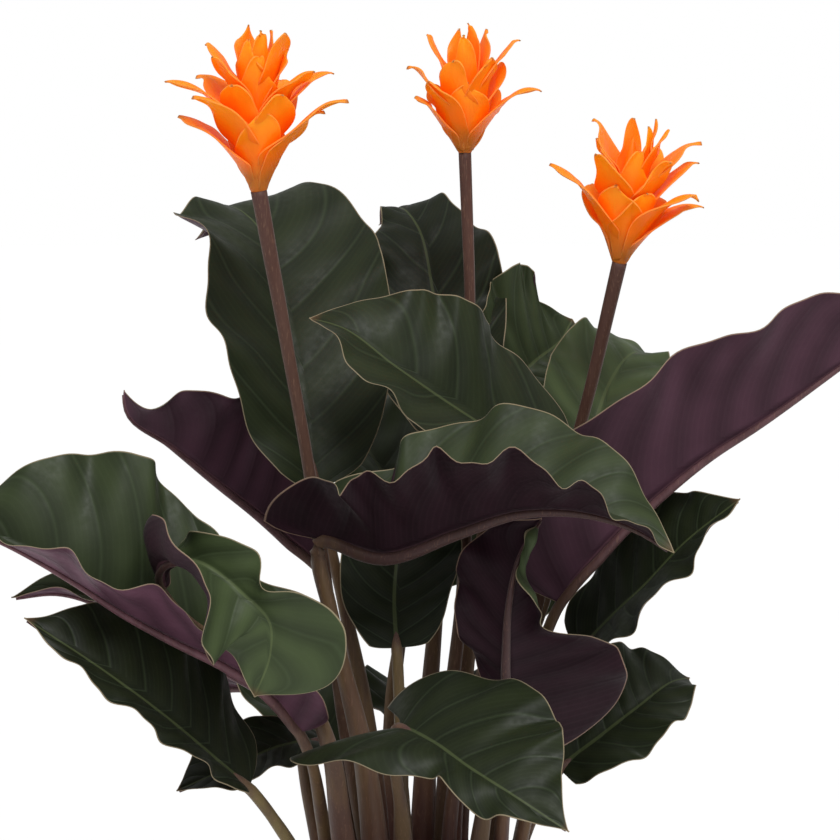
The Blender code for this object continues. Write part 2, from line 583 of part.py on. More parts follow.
def add_soil():
    """The soil, with a plain hole for the foot of each stalk."""
    soil = add_object("soil", mesh_from("soil", *loft(turned(SOIL_PROFILE))), "soil")
    holes = [(leaf.soil, leaf.sheath) for _, leaf in LEAVES.values()]
    holes += [(np.array(place, float), (STALK_RADIUS[0],) * 2) for place, _, _, _ in FLOWERS.values()]
    turn = (np.arange(8) + 0.5) * math.pi / 4
    bores = []
    for middle, (wide, deep) in holes:
        inward = -middle / max(np.linalg.norm(middle), 1e-6)
        side = np.array([-inward[1], inward[0]])
        round_to = 1 / math.cos(math.pi / 8)
        edge = (
            middle
            + np.outer(np.cos(turn) * (wide + GAP) * round_to, side)
            + np.outer(np.sin(turn) * (deep + GAP) * round_to, -inward)
        )
        bores.append(np.stack([np.column_stack([edge, np.full(8, z)]) for z in (STALK_FOOT - GAP, SOIL_LEVEL + 20)]))
    cut(soil, bores, "stalk_cutter")


def main():
    for obj in list(bpy.data.objects):
        bpy.data.objects.remove(obj, do_unlink=True)
    for name, (grid, leaf) in LEAVES.items():
        add_leaf(name, grid, leaf)
    for name, flower in FLOWERS.items():
        add_flower(name, *flower)
    add_soil()
    add_pot()


main()
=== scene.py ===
"""Eternal flame calathea in a nursery pot: the finished surfaces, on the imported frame.

Shapes are worked out in millimetres and written to the meshes in metres. +Z is up, the plant's front is
towards -Y, and the origin is the middle of the pot's underside.
"""

import math

import bpy
import numpy as np
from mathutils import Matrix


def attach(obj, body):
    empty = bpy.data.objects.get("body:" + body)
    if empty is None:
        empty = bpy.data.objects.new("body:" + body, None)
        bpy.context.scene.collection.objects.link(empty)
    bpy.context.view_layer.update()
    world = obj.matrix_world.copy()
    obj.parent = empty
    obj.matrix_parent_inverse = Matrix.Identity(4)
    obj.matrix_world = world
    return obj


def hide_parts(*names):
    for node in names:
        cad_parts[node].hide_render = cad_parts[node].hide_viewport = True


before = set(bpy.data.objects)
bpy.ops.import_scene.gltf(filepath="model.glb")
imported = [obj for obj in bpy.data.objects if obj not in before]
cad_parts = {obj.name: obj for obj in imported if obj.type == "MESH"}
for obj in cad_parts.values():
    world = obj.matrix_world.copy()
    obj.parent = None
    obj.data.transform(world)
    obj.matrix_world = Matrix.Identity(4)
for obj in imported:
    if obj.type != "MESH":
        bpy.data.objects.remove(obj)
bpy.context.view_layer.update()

MM = 0.001


# Nursery pot
# A thin-walled pot, injection moulded in dark grey plastic, with a stacking shoulder, a rolled rim and a
# ring of drain holes. The photograph cuts it off, so it is plain. Its wall carries the soil.

POT_SIDES = 128
POT_OUTSIDE = ((0.0, 1.2), (30.0, 1.2), (44.0, 0.9), (46.0, 0.0), (48.6, 0.0), (49.6, 0.4), (50.1, 1.4),
               (57.0, 48.0), (64.6, 100.0), (65.4, 101.4), (67.4, 102.4), (67.9, 103.4), (68.7, 117.4),
               (69.3, 118.2), (70.0, 118.7), (70.1, 119.4), (69.6, 120.0))
POT_INSIDE = ((68.4, 120.2), (67.2, 120.0), (66.6, 119.0), (65.5, 104.8), (64.8, 103.6), (63.4, 102.7),
              (62.9, 101.4), (55.4, 48.0), (47.4, 3.6), (46.6, 2.7), (30.0, 2.6), (0.0, 2.6))
DRAINS, DRAIN_RING, DRAIN_RADIUS, DRAIN_SIDES = 6, 34.0, 4.5, 24
PLASTIC_EDGE = 35


def srgb(red, green, blue):
    """A colour given in display values from 0 to 255, as the linear values that a shader takes."""
    parts = np.array([red, green, blue]) / 255
    return (*np.where(parts < 0.04045, parts / 12.92, ((parts + 0.055) / 1.055) ** 2.4), 1.0)


def put_node(tree, kind, settings=None, **inputs):
    """A shader node. Each input is a value or another node's output; a name like _6 is a socket's number."""
    made = tree.nodes.new(kind)
    for key, value in (settings or {}).items():
        setattr(made, key, value)
    for key, value in inputs.items():
        socket = made.inputs[int(key[1:]) if key[0] == "_" else key.replace("_", " ")]
        if isinstance(value, bpy.types.NodeSocket):
            tree.links.new(value, socket)
        else:
            socket.default_value = value
    return made


def maths(tree, operation, a, b=0.5, c=0.5):
    """The result of one Math node."""
    return put_node(tree, "ShaderNodeMath", {"operation": operation}, _0=a, _1=b, _2=c).outputs[0]


def fade(tree, value, low, high, bottom=0.0, top=1.0):
    """A smooth step from bottom to top while value goes from low to high."""
    return put_node(tree, "ShaderNodeMapRange", {"interpolation_type": "SMOOTHSTEP"}, Value=value,
                    From_Min=low, From_Max=high, To_Min=bottom, To_Max=top).outputs[0]


def tint(tree, share, first, second):
    """Colour first, mixed towards second by share; a colour is a node's output or three display values."""
    first, second = (srgb(*c) if isinstance(c, tuple) and len(c) == 3 else c for c in (first, second))
    return put_node(tree, "ShaderNodeMix", {"data_type": "RGBA"}, _0=share, _6=first, _7=second).outputs[2]


def stored(tree, name):
    """A number stored on the mesh's points."""
    return put_node(tree, "ShaderNodeAttribute", {"attribute_name": name}).outputs["Fac"]


def new_finish(name, **constants):
    """A material with a Principled shader, and the constant values of that shader's sockets."""
    finish = bpy.data.materials.new(name)
    finish.use_nodes = True
    shader = finish.node_tree.nodes["Principled BSDF"]
    for key, value in constants.items():
        shader.inputs[key.replace("_", " ")].default_value = value
    return finish, finish.node_tree, shader


def new_group(name, inputs, outputs):
    """A node group with these number inputs (name: default) and these number outputs."""
    tree = bpy.data.node_groups.new(name, "ShaderNodeTree")
    for key, value in inputs.items():
        tree.interface.new_socket(key, in_out="INPUT", socket_type="NodeSocketFloat").default_value = value
    for key in outputs:
        tree.interface.new_socket(key, in_out="OUTPUT", socket_type="NodeSocketFloat")
    return tree, tree.nodes.new("NodeGroupInput").outputs, tree.nodes.new("NodeGroupOutput").inputs


def use_group(tree, name, **inputs):
    """A group placed in a material with its own values."""
    return put_node(tree, "ShaderNodeGroup", {"node_tree": bpy.data.node_groups[name]}, **inputs).outputs


def lay_over(tree, base, mask, share, colour):
    """A colour laid over the base where the mask says, at a share of its strength."""
    return tint(tree, maths(tree, "MULTIPLY", mask, share), base, colour)


def coat(tree, shader, colour, grain=None, smooth=0.0, rough=0.0):
    """The shader's colour and, where a grain is given, a roughness that follows its fine mottling."""
    tree.links.new(colour, shader.inputs["Base Color"])
    if grain:
        tree.links.new(fade(tree, grain["Fine"], 0.2, 0.8, smooth, rough), shader.inputs["Roughness"])


def bumped(tree, shader, height, distance, strength=1.0):
    """The height, in units of distance (metres), shades the surface."""
    bump = put_node(tree, "ShaderNodeBump", Height=height, Distance=distance, Strength=strength)
    tree.links.new(bump.outputs[0], shader.inputs["Normal"])


# Grain is broad and fine mottling in the object's own space, for every surface here.
tree, given, wanted = new_group("Grain", {"Size mm": 4.0, "Stretch": 1.0}, ("Broad", "Fine", "Height"))
place = put_node(tree, "ShaderNodeTexCoord").outputs["Object"]
scale = maths(tree, "DIVIDE", 1000.0, given["Size mm"])
squeezed = put_node(tree, "ShaderNodeCombineXYZ", _0=1.0, _1=1.0, _2=given["Stretch"]).outputs[0]
place = put_node(tree, "ShaderNodeVectorMath", {"operation": "MULTIPLY"}, _0=place, _1=squeezed).outputs[0]
broad = put_node(tree, "ShaderNodeTexNoise", Vector=place, Scale=scale, Detail=3.0).outputs[0]
finer = maths(tree, "MULTIPLY", scale, 9.0)
fine = put_node(tree, "ShaderNodeTexNoise", Vector=place, Scale=finer, Detail=2.0).outputs[0]
tree.links.new(broad, wanted["Broad"])
tree.links.new(fine, wanted["Fine"])
tree.links.new(maths(tree, "MULTIPLY_ADD", broad, 0.6, maths(tree, "MULTIPLY", fine, 0.4)), wanted["Height"])


def sheet_faces(rows, columns, around=False, flip=False, first=0):
    """Quads of a grid of points kept row by row; around joins each row's end to its start."""
    i, j = np.meshgrid(np.arange(rows - 1), np.arange(columns if around else columns - 1), indexing="ij")
    k = (j + 1) % columns
    quads = np.stack([i * columns + j, i * columns + k, (i + 1) * columns + k, (i + 1) * columns + j], axis=-1)
    quads = quads.reshape(-1, 4) + first
    return quads[:, ::-1] if flip else quads


def put_mesh(name, points, faces, finishes, finish_of=None, numbers=None, uv=None, sharp=None):
    """An object at the origin from points in mm. numbers are attributes of the points, uv is per point."""
    mesh = bpy.data.meshes.new(name)
    mesh.from_pydata((np.asarray(points) * MM).tolist(), [], [f.tolist() for f in faces])
    for finish in finishes:
        mesh.materials.append(finish)
    if finish_of is not None:
        mesh.polygons.foreach_set("material_index", np.asarray(finish_of, np.int32))
    for key, values in (numbers or {}).items():
        mesh.attributes.new(key, "FLOAT", "POINT").data.foreach_set("value", np.asarray(values, np.float32))
    if uv is not None:
        corner = np.empty(len(mesh.loops), np.int32)
        mesh.loops.foreach_get("vertex_index", corner)
        mesh.uv_layers.new(name="UVMap").data.foreach_set("uv", np.asarray(uv, np.float32)[corner].ravel())
    mesh.shade_smooth()
    if sharp:
        mesh.set_sharp_from_angle(angle=math.radians(sharp))
    mesh.update()
    piece = bpy.data.objects.new(name, mesh)
    bpy.context.scene.collection.objects.link(piece)
    return piece


def belongs(piece, slot, *nodes):
    """The piece stands for these nodes of the frame; slot is not used."""
    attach(piece, "root")
    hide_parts(*nodes)


def full_turn(sides):
    """Even angles round a full turn."""
    return np.arange(sides) * 2 * math.pi / sides


def turned_points(profile, sides):
    """A profile of (radius, height) turned about Z: x = r cos a, y = r sin a, z = h."""
    a = full_turn(sides)
    r, h = np.array(profile, float).T
    return np.stack([r[:, None] * np.cos(a), r[:, None] * np.sin(a), h[:, None] + 0 * a], axis=-1).reshape(-1, 3)


plastic, tree, shader = new_finish("pot_plastic", Roughness=0.5, Specular_IOR_Level=0.4)
grain = use_group(tree, "Grain", Size_mm=6.0)
grey = tint(tree, fade(tree, grain["Broad"], 0.3, 0.7), (50, 48, 46), (62, 59, 56))
coat(tree, shader, grey, grain, 0.42, 0.62)
bumped(tree, shader, grain["Height"], 0.0003, 0.35)

profile = POT_OUTSIDE + POT_INSIDE
pot = put_mesh("calathea_pot", turned_points(profile, POT_SIDES),
               sheet_faces(len(profile), POT_SIDES, around=True), [plastic], sharp=PLASTIC_EDGE)
bore = turned_points(((0, -3), (DRAIN_RADIUS, -3), (DRAIN_RADIUS, 6), (0, 6)), DRAIN_SIDES)
bores = [bore + [DRAIN_RING * math.cos(turn), DRAIN_RING * math.sin(turn), 0] for turn in full_turn(DRAINS)]
bore_faces = [sheet_faces(4, DRAIN_SIDES, around=True, first=len(bore) * k) for k in range(DRAINS)]
drill = put_mesh("drain_drill", np.vstack(bores), np.vstack(bore_faces), [plastic])
for obj in (pot, drill):
    obj.modifiers.new("weld", "WELD").merge_threshold = 1e-5
holes = pot.modifiers.new("drains", "BOOLEAN")
holes.object, holes.operation, holes.solver = drill, "DIFFERENCE", "EXACT"
bpy.context.view_layer.update()
drilled = bpy.data.meshes.new_from_object(pot.evaluated_get(bpy.context.evaluated_depsgraph_get()))
pot.modifiers.clear()
pot.data = drilled
bpy.data.objects.remove(drill, do_unlink=True)
drilled.shade_smooth()
drilled.set_sharp_from_angle(angle=math.radians(PLASTIC_EDGE))
belongs(pot, "pot", "pot")


# Potting soil
# Dark moist peat pressed in to a little below the rim, with crumbs of peat and bark and grains of white
# perlite lying on it. The surface is a polar grid raised by lattice noise.

SOIL_SIDES, SOIL_RINGS = 220, 64
SOIL_EDGE, SOIL_TOP = 65.0, 107.4
SOIL_UNDER = ((0.0, 3.4), (46.0, 3.4), (54.9, 48.0), (62.4, 101.6), (64.6, 104.8))
SOIL_CRUMBS, SOIL_GRAINS, SCATTER_REACH = 900, 90, 62.5


def lattice_noise(x, y, cell, seed):
    """Smooth random heights in -1 to 1: random values on a square lattice, blended between its corners."""
    values = np.random.default_rng(seed).uniform(-1, 1, (64, 64))
    u, v = x / cell + 31.7, y / cell + 17.3
    i, j = np.floor(u).astype(int), np.floor(v).astype(int)
    u, v = u - i, v - j
    u, v = u * u * (3 - 2 * u), v * v * (3 - 2 * v)
    pick = lambda p, q: values[p % 64, q % 64]
    return ((pick(i, j) * (1 - u) + pick(i + 1, j) * u) * (1 - v)
            + (pick(i, j + 1) * (1 - u) + pick(i + 1, j + 1) * u) * v)


def soil_height(x, y):
    """Height of the soil's surface: a low mound with lumps of three sizes."""
    mound = 1.6 * (1 - (x**2 + y**2) / SOIL_EDGE**2)
    return (SOIL_TOP + mound + 0.9 * lattice_noise(x, y, 13.0, 1) + 0.7 * lattice_noise(x, y, 4.5, 2)
            + 0.45 * np.abs(lattice_noise(x, y, 1.9, 3)))


soil_finish, tree, shader = new_finish("peat", Roughness=0.95, Specular_IOR_Level=0.25)
grain = use_group(tree, "Grain", Size_mm=3.0)
earth = tint(tree, fade(tree, grain["Broad"], 0.35, 0.7), (38, 28, 20), (72, 53, 38))
earth = tint(tree, fade(tree, grain["Fine"], 0.62, 0.75), earth, (112, 84, 58))
coat(tree, shader, earth)
bumped(tree, shader, grain["Height"], 0.0012)
perlite_finish, tree, shader = new_finish("perlite", Roughness=0.9)
grain = use_group(tree, "Grain", Size_mm=1.5)
coat(tree, shader, tint(tree, grain["Broad"], (170, 165, 155), (225, 222, 214)))
bumped(tree, shader, grain["Height"], 0.0004)

radius = SOIL_EDGE * np.linspace(0, 1, SOIL_RINGS)[::-1]
a = full_turn(SOIL_SIDES)
x, y = radius[:, None] * np.cos(a), radius[:, None] * np.sin(a)
surface = np.stack([x, y, soil_height(x, y)], axis=-1)
body = np.vstack([turned_points(SOIL_UNDER, SOIL_SIDES), surface.reshape(-1, 3)])
rings = len(SOIL_UNDER) + SOIL_RINGS
soil = put_mesh("calathea_soil", body, sheet_faces(rings, SOIL_SIDES, around=True), [soil_finish])
belongs(soil, "soil", "soil")

# The twelve corners of a regular ball of twenty triangles lie on three golden rectangles.
GOLDEN = (1 + 5**0.5) / 2
LUMP = np.array([np.roll((0, one, ratio), turn)
                 for turn in (0, 2, 1) for ratio in (GOLDEN, -GOLDEN) for one in (1, -1)]) / 1.9
LUMP_FACES = np.array([(0, 1, 8), (0, 9, 1), (0, 4, 5), (0, 8, 4), (0, 5, 9), (1, 7, 6), (1, 6, 8), (1, 9, 7),
                       (2, 3, 11), (2, 10, 3), (2, 5, 4), (2, 4, 10), (2, 11, 5), (3, 6, 7), (3, 10, 6),
                       (3, 7, 11), (4, 8, 10), (5, 11, 9), (6, 10, 8), (7, 9, 11)])


def scatter_lumps(name, count, sizes, finish, seed, flat):
    """Small lumps half sunk in the soil: a twelve-cornered ball, dented, stretched and turned at random."""
    rng = np.random.default_rng(seed)
    away, turn = SCATTER_REACH * np.sqrt(rng.uniform(0, 1, count)), rng.uniform(0, 2 * math.pi, count)
    x, y = away * np.cos(turn), away * np.sin(turn)
    size = rng.uniform(*sizes, (count, 1, 3)) * rng.uniform(0.6, 1.0, (count, 1, 1)) * [1.0, 0.75, flat]
    balls = LUMP[None] * size * rng.uniform(0.75, 1.2, (count, 12, 1))
    c, s = np.cos(turn * 7)[:, None], np.sin(turn * 7)[:, None]
    p, q, up = np.moveaxis(balls, -1, 0)
    balls = np.stack([p * c - q * s, p * s + q * c, up], axis=-1)
    balls += np.stack([x, y, soil_height(x, y) + 0.2], axis=-1)[:, None]
    faces = (LUMP_FACES[None] + 12 * np.arange(count)[:, None, None]).reshape(-1, 3)
    piece = put_mesh(name, balls.reshape(-1, 3), faces, [finish])
    belongs(piece, "soil", "soil")


scatter_lumps("calathea_soil_crumbs", SOIL_CRUMBS, (0.6, 2.0), soil_finish, 5, 0.6)
scatter_lumps("calathea_soil_perlite", SOIL_GRAINS, (0.6, 1.4), perlite_finish, 6, 0.85)


# Leaves
# Each leaf is one growth: a stalk that widens into a sheath at the soil, runs on under the blade as the
# midrib, and carries a thin satin blade, dark green above and wine purple beneath, with a pale margin.

COLLAR, ROOT = 113.0, 18
KNOT_STEPS = 24
BLADE_ROWS, HALF_COLUMNS = 132, 19
BLADE_THICK = 0.55
PLEAT, GROOVE, GROOVE_WIDTH = 0.85, 0.5, 1.4
LOBE_START, LONG_LOBE, LONG_LOBE_START = 0.05, 16, 0.016
STALK_SIDES, STALK_ROWS, STALK_FOOT = 16, 84, 9.0
NOT_ON_BLADE = 99.0


def unit(vectors):
    """Each vector at length one."""
    return vectors / np.linalg.norm(vectors, axis=-1, keepdims=True)


def cubic(u, start, leave, end, arrive):
    """The cubic from start to end, u from 0 to 1, with these slopes at its ends."""
    return ((2 * u**3 - 3 * u**2 + 1) * start + (u**3 - 2 * u**2 + u) * leave
            + (3 * u**2 - 2 * u**3) * end + (u**3 - u**2) * arrive)


def smooth_line(knots):
    """A curve through the knots: cubic pieces whose slopes come from their neighbours by chord length."""
    knots = np.array(knots, float)
    chords = np.linalg.norm(np.diff(knots, axis=0), axis=1)
    rates = np.diff(knots, axis=0) / chords[:, None]
    slopes = np.empty_like(knots)
    slopes[0], slopes[-1] = rates[0], rates[-1]
    share = (chords[:-1] / (chords[:-1] + chords[1:]))[:, None]
    slopes[1:-1] = rates[:-1] * (1 - share) + rates[1:] * share
    u = np.linspace(0, 1, KNOT_STEPS, endpoint=False)[:, None]
    pieces = [cubic(u, knots[i], chord * slopes[i], knots[i + 1], chord * slopes[i + 1])
              for i, chord in enumerate(chords)]
    return np.vstack([*pieces, knots[-1:]])


def lengths_along(line):
    """The length of the line up to each of its points."""
    return np.concatenate([[0.0], np.cumsum(np.linalg.norm(np.diff(line, axis=0), axis=1))])


def read_along(lengths, values, where):
    """Values along a line, read at some lengths."""
    return np.stack([np.interp(where, lengths, values[:, k]) for k in range(3)], axis=1)


def from_base_to_tip(values, t):
    """One value, or values at even stations from base to tip, read at t on a smooth cubic."""
    values = np.atleast_1d(np.array(values, float))
    if len(values) == 1:
        return values[0] + 0 * t
    slopes = np.gradient(values)
    x = np.clip(t, 0, 1) * (len(values) - 1)
    i = np.minimum(x.astype(int), len(values) - 2)
    u = x - i
    return cubic(u, values[i], slopes[i], values[i + 1], slopes[i + 1])


def blade_outline(t, widest):
    """Half width over greatest half width: a round base, a full middle and a drawn-out point."""
    base = np.sqrt(np.clip(1 - (1 - np.minimum(t, widest) / widest) ** 2.2, 0, 1))
    u = np.clip((t - widest) / (1 - widest), 0, 1)
    return np.where(t < widest, base, (1 - u**2.3) * (1 - 0.30 * u**8))


class Leaf:
    """One leaf: the path of its stalk and midrib, and how its two halves hang from it. Lengths are in mm.

    soil is where the stalk enters the soil; stalk and rib are the points of the stalk and, from base to
    tip, of the midrib; up is the upper side's direction, once or at base, middle and tip. The halves are
    (left, right), seen from above with the tip ahead. Of each: width; fold and curl in degrees, the lift
    at the rib and the further bend to the margin; lobe, how far the base reaches back; waves, as (height,
    count, phase in turns); sweep, how far the margin runs ahead, over the width. Several values are at
    even stations from base to tip. full is where the blade is widest; stem the stalk's radius and sheath
    its half width and depth at the soil; veins the side veins of each half. tone and wine say how light
    it is above and beneath, stain how red the stalk is.
    """

    def __init__(self, soil, stalk, rib, up, width, fold=(20, 20), curl=(0, 0), lobe=(4, 4),
                 waves=((2.5, 3.5, 0.1), (2.5, 3.2, 0.6)), full=0.42, stem=2.2, sheath=(4.8, 3.1),
                 veins=8, tone=0.5, wine=0.4, stain=0.5, sweep=(0.3, 0.3)):
        self.soil, self.up = np.array(soil, float), np.array(up, float) + np.zeros((3, 1))
        self.line = smooth_line([(*soil, COLLAR - ROOT), (*soil, COLLAR), *stalk, *rib])[KNOT_STEPS:]
        self.lengths = lengths_along(self.line)
        base = np.argmin(np.linalg.norm(self.line - np.array(rib[0], float), axis=1))
        self.base_length, self.full_length = self.lengths[base], self.lengths[-1]
        self.width, self.fold, self.curl, self.lobe, self.waves = width, fold, curl, lobe, waves
        self.full, self.stem, self.sheath, self.veins = full, stem, sheath, veins
        self.tone, self.wine, self.stain, self.sweep = tone, wine, stain, sweep

    def frame(self, where):
        """Place, tangent, side and upper direction at some lengths along the leaf."""
        place = read_along(self.lengths, self.line, where)
        tangents = np.gradient(self.line, self.lengths, axis=0)
        tangents[0] = (0, 0, 1)
        tangent = unit(read_along(self.lengths, tangents, where))
        inward = np.array([-self.soil[0], -self.soil[1], 0.0])
        inward = inward / max(np.linalg.norm(inward), 1e-6)
        stations = self.base_length + np.array([0, 0.5, 1.0]) * (self.full_length - self.base_length)
        wanted = read_along(np.array([0, *stations]), np.array([inward, *unit(self.up)]), where)
        side = unit(np.cross(tangent, wanted))
        return place, tangent, side, np.cross(side, tangent)

    def blade(self, t, s, seed):
        """Upper surface at t from base to tip and s from the left margin (-1) to the right (1).

        Each half leaves the rib at its fold angle and bends on by its curl, so a point lies on an arc:
        out = w (sin(fold + curl a) - sin fold) / curl. The margin's waves grow as a^1.7. Gives the points,
        the distances in mm from the rib and from the margin, and the count of side veins passed.
        """
        t, s = np.broadcast_arrays(t, s)
        shape = t.shape
        t, s = t.ravel(), s.ravel()
        a = np.abs(s)
        right = s > 0
        pick = lambda pair: np.where(right, from_base_to_tip(pair[1], t), from_base_to_tip(pair[0], t))
        place, tangent, side, upward = self.frame(self.base_length + t * (self.full_length - self.base_length))
        half = np.maximum(pick(self.width) * blade_outline(t, self.full), 0.3)
        fold, bend = np.radians(pick(self.fold)), np.radians(pick(self.curl))
        bend = np.where(np.abs(bend) < 1e-3, 1e-3, bend)
        theta = fold + bend * a
        out = half * (np.sin(theta) - np.sin(fold)) / bend
        lift = half * (np.cos(fold) - np.cos(theta)) / bend
        height, count, phase = (np.where(right, self.waves[1][k], self.waves[0][k]) for k in range(3))
        calm = np.clip(np.sin(math.pi * np.clip(t, 0, 1) ** 0.8), 0, 1) ** 0.6
        turns = 2 * math.pi * (count * t + phase)
        ripple = 1.4 * height * a**1.7 * calm * (np.sin(turns) + 0.28 * np.sin(2.3 * turns + seed + 2.0 * right))
        veins = self.vein_phase(t, a, right, seed)
        inside = np.clip(a * 4, 0, 1) * np.clip(1.15 - a, 0, 1)
        puff = PLEAT * (np.abs(np.sin(math.pi * veins)) ** 0.8 - 0.6) * inside * calm
        puff -= GROOVE * np.exp(-((half * a / GROOVE_WIDTH) ** 2)) * calm
        out = out - (ripple + puff) * np.sin(theta)
        lift = lift + (ripple + puff) * np.cos(theta)
        reach = np.where(right, self.lobe[1], self.lobe[0])
        start = np.where(reach > LONG_LOBE, LONG_LOBE_START, LOBE_START)
        back = reach * a**1.5 * np.clip(1 - t, 0, 1) ** 4 * np.clip(t / start, 0, 1)
        sweep = pick(self.sweep) * half * a**2 * np.clip(np.sin(math.pi * t), 0, 1)
        points = (place + side * (np.sign(s) * out)[:, None] + upward * lift[:, None]
                  + tangent * (sweep - back)[:, None])
        return points.reshape(*shape, 3), *(part.reshape(shape) for part in (half * a, half * (1 - a), veins))

    def vein_phase(self, t, a, right, seed):
        """Side veins are whole numbers of this: they leave the rib towards the tip, a little unevenly."""
        uneven = 0.25 * np.sin(5.1 * t + seed) + 0.15 * np.sin(11.3 * t + 2 * seed)
        return self.veins * (t - 0.13 * a - 0.03 * a**2) + uneven + 0.5 * right + 20


def shell_faces(rows, columns, flip=False):
    """Faces of a closed shell: a grid, the same grid turned over, and the rim that joins their borders."""
    count = rows * columns
    corners = np.arange(count).reshape(rows, columns)
    border = np.concatenate([corners[0], corners[1:, -1], corners[-1, -2::-1], corners[-2:0:-1, 0]])
    after = np.roll(border, -1)
    rim = np.stack([border, border + count, after + count, after], axis=-1)
    return [sheet_faces(rows, columns, flip=flip), sheet_faces(rows, columns, flip=not flip, first=count),
            rim[:, [0, 3, 2, 1]] if flip else rim]


def leaf_sheet(leaf, seed):
    """The blade as a closed thin shell: the upper grid, and the same grid let down along its normals."""
    inner = np.sin(np.linspace(0, 1, HALF_COLUMNS) * 1.45) / math.sin(1.45)
    half = np.concatenate([inner[:-1] * 0.975, [0.982, 1.0]])
    across = np.concatenate([-half[:0:-1], half])
    even = np.linspace(0, 1, BLADE_ROWS)
    t = 0.5 * even + 0.5 * (1 - np.cos(math.pi * even)) / 2
    top, rib, edge, veins = leaf.blade(t[:, None], across[None, :], seed)
    normal = unit(np.cross(np.gradient(top, axis=1), np.gradient(top, axis=0)) + 1e-12)
    thick = BLADE_THICK * np.clip(0.35 + edge / 3.0, 0.35, 1.0)
    under = top - normal * thick[..., None]
    faces = shell_faces(*rib.shape)
    marks = np.concatenate([np.full(len(part), side) for part, side in zip(faces, (0.0, 1.0, 0.0))])
    taper = 0.5 + (1 - t)[:, None]
    along = 1.0 + t[:, None] + 0 * rib
    numbers = {"rib": rib / taper, "edge": edge, "vein": veins, "along": along}
    uv = np.stack([0.5 + 0.5 * across[None, :] + 0 * rib, t[:, None] + 0 * rib], axis=-1)
    return (np.concatenate([top.reshape(-1, 3), under.reshape(-1, 3)]), np.concatenate(faces), marks,
            {k: np.tile(v.ravel(), 2) for k, v in numbers.items()}, np.tile(uv.reshape(-1, 2), (2, 1)))


def leaf_stalk(leaf):
    """The stalk and midrib as one tube: flat and wide at the soil, round above, slimmer under the blade."""
    where = np.linspace(-STALK_FOOT, leaf.full_length * 0.992, STALK_ROWS)
    place, _, side, upward = leaf.frame(np.maximum(where, 0))
    place = place + np.minimum(where, 0)[:, None] * np.array([0, 0, 1.0])
    slim = np.clip(where / (0.75 * leaf.base_length), 0, 1) ** 1.2
    t = np.clip((where - leaf.base_length) / (leaf.full_length - leaf.base_length), 0, 1)
    rib = (1 - t) ** 0.85 * 0.82 + 0.14
    wide, deep = ((foot + (leaf.stem - foot) * slim) * np.where(t > 0, rib + 0.04, 1) for foot in leaf.sheath)
    flat = np.cos(np.radians((from_base_to_tip(leaf.fold[0], t) + from_base_to_tip(leaf.fold[1], t)) / 2))
    sunk = (deep * (0.62 + 0.40 * flat) + BLADE_THICK * flat) * np.clip(t / 0.12, 0, 1) ** 0.7
    a = full_turn(STALK_SIDES)
    seam = 1 - 0.10 * np.exp(-((a - math.pi / 2) / 0.35) ** 2)
    points = (place[:, None] - upward[:, None] * sunk[:, None, None]
              + side[:, None] * (wide[:, None] * np.cos(a) * seam)[..., None]
              + upward[:, None] * (deep[:, None] * np.sin(a) * seam)[..., None])
    faces = list(sheet_faces(STALK_ROWS, STALK_SIDES, around=True, flip=True))
    faces += [np.arange(STALK_SIDES), np.arange(STALK_SIDES)[::-1] + (STALK_ROWS - 1) * STALK_SIDES]
    along = np.clip(where / leaf.base_length, 0, 1) + t
    uv = np.stack([a[None, :] / (2 * math.pi) + 0 * where[:, None], where[:, None] / 100 + 0 * a], axis=-1)
    return points.reshape(-1, 3), faces, np.repeat(along, STALK_SIDES), uv.reshape(-1, 2)


# Leaf lines are what both sides of a blade share: midrib, side veins, the soft bands between, the margin;
# the bands are painted shade, darker towards each side vein where the pleats dip.
tree, given, wanted = new_group("Leaf lines", {"Rib width": 1.0, "Margin mm": 0.6},
                                ("Rib", "Veins", "Hairlines", "Pleat shade", "Margin", "Height"))
rib, edge, vein = (stored(tree, key) for key in ("rib", "edge", "vein"))
tooth = lambda value: maths(tree, "ABSOLUTE", maths(tree, "MULTIPLY_ADD", maths(tree, "FRACT", value), 2.0, -1.0))
near = lambda away, reach, core: maths(
    tree, "SUBTRACT", 1.0, fade(tree, away, maths(tree, "MULTIPLY", reach, core), reach))
main_vein, hair_vein = tooth(vein), tooth(maths(tree, "MULTIPLY", vein, 7.0))
masks = {
    "Rib": near(rib, given["Rib width"], 0.6),
    "Veins": fade(tree, main_vein, 0.84, 1.0),
    "Hairlines": fade(tree, hair_vein, 0.5, 1.0),
    "Pleat shade": fade(tree, main_vein, 0.05, 0.95),
    "Margin": near(edge, given["Margin mm"], 0.4),
}
sunk = maths(tree, "MULTIPLY", masks["Veins"], -0.6)
masks["Height"] = maths(tree, "MULTIPLY_ADD", masks["Hairlines"], -0.06, sunk)
for key, output in masks.items():
    tree.links.new(output, wanted[key])


upper_finish, tree, shader = new_finish("leaf_upper", Sheen_Weight=0.03, Sheen_Roughness=0.4,
                                        Specular_IOR_Level=0.16)
lines = use_group(tree, "Leaf lines", Rib_width=0.7, Margin_mm=0.5)
grain = use_group(tree, "Grain", Size_mm=26.0)
tone, along = stored(tree, "tone"), stored(tree, "along")
green = tint(tree, tone, (27, 32, 16), (90, 106, 68))
green = tint(tree, fade(tree, grain["Broad"], 0.3, 0.7, 0.0, 0.45), green, tint(tree, 0.55, green, (16, 20, 12)))
# Painted shade: the blade darkens towards each side vein, in the valleys of the pleats.
green = lay_over(tree, green, lines["Pleat shade"], 0.5, tint(tree, 0.75, green, (12, 17, 13)))
green = lay_over(tree, green, lines["Hairlines"], 0.025, (96, 112, 78))
green = lay_over(tree, green, lines["Veins"], 0.10, (92, 108, 76))
green = lay_over(tree, green, lines["Rib"], 0.28, (106, 118, 76))
green = lay_over(tree, green, fade(tree, along, 1.95, 2.0), 0.7, (92, 66, 46))
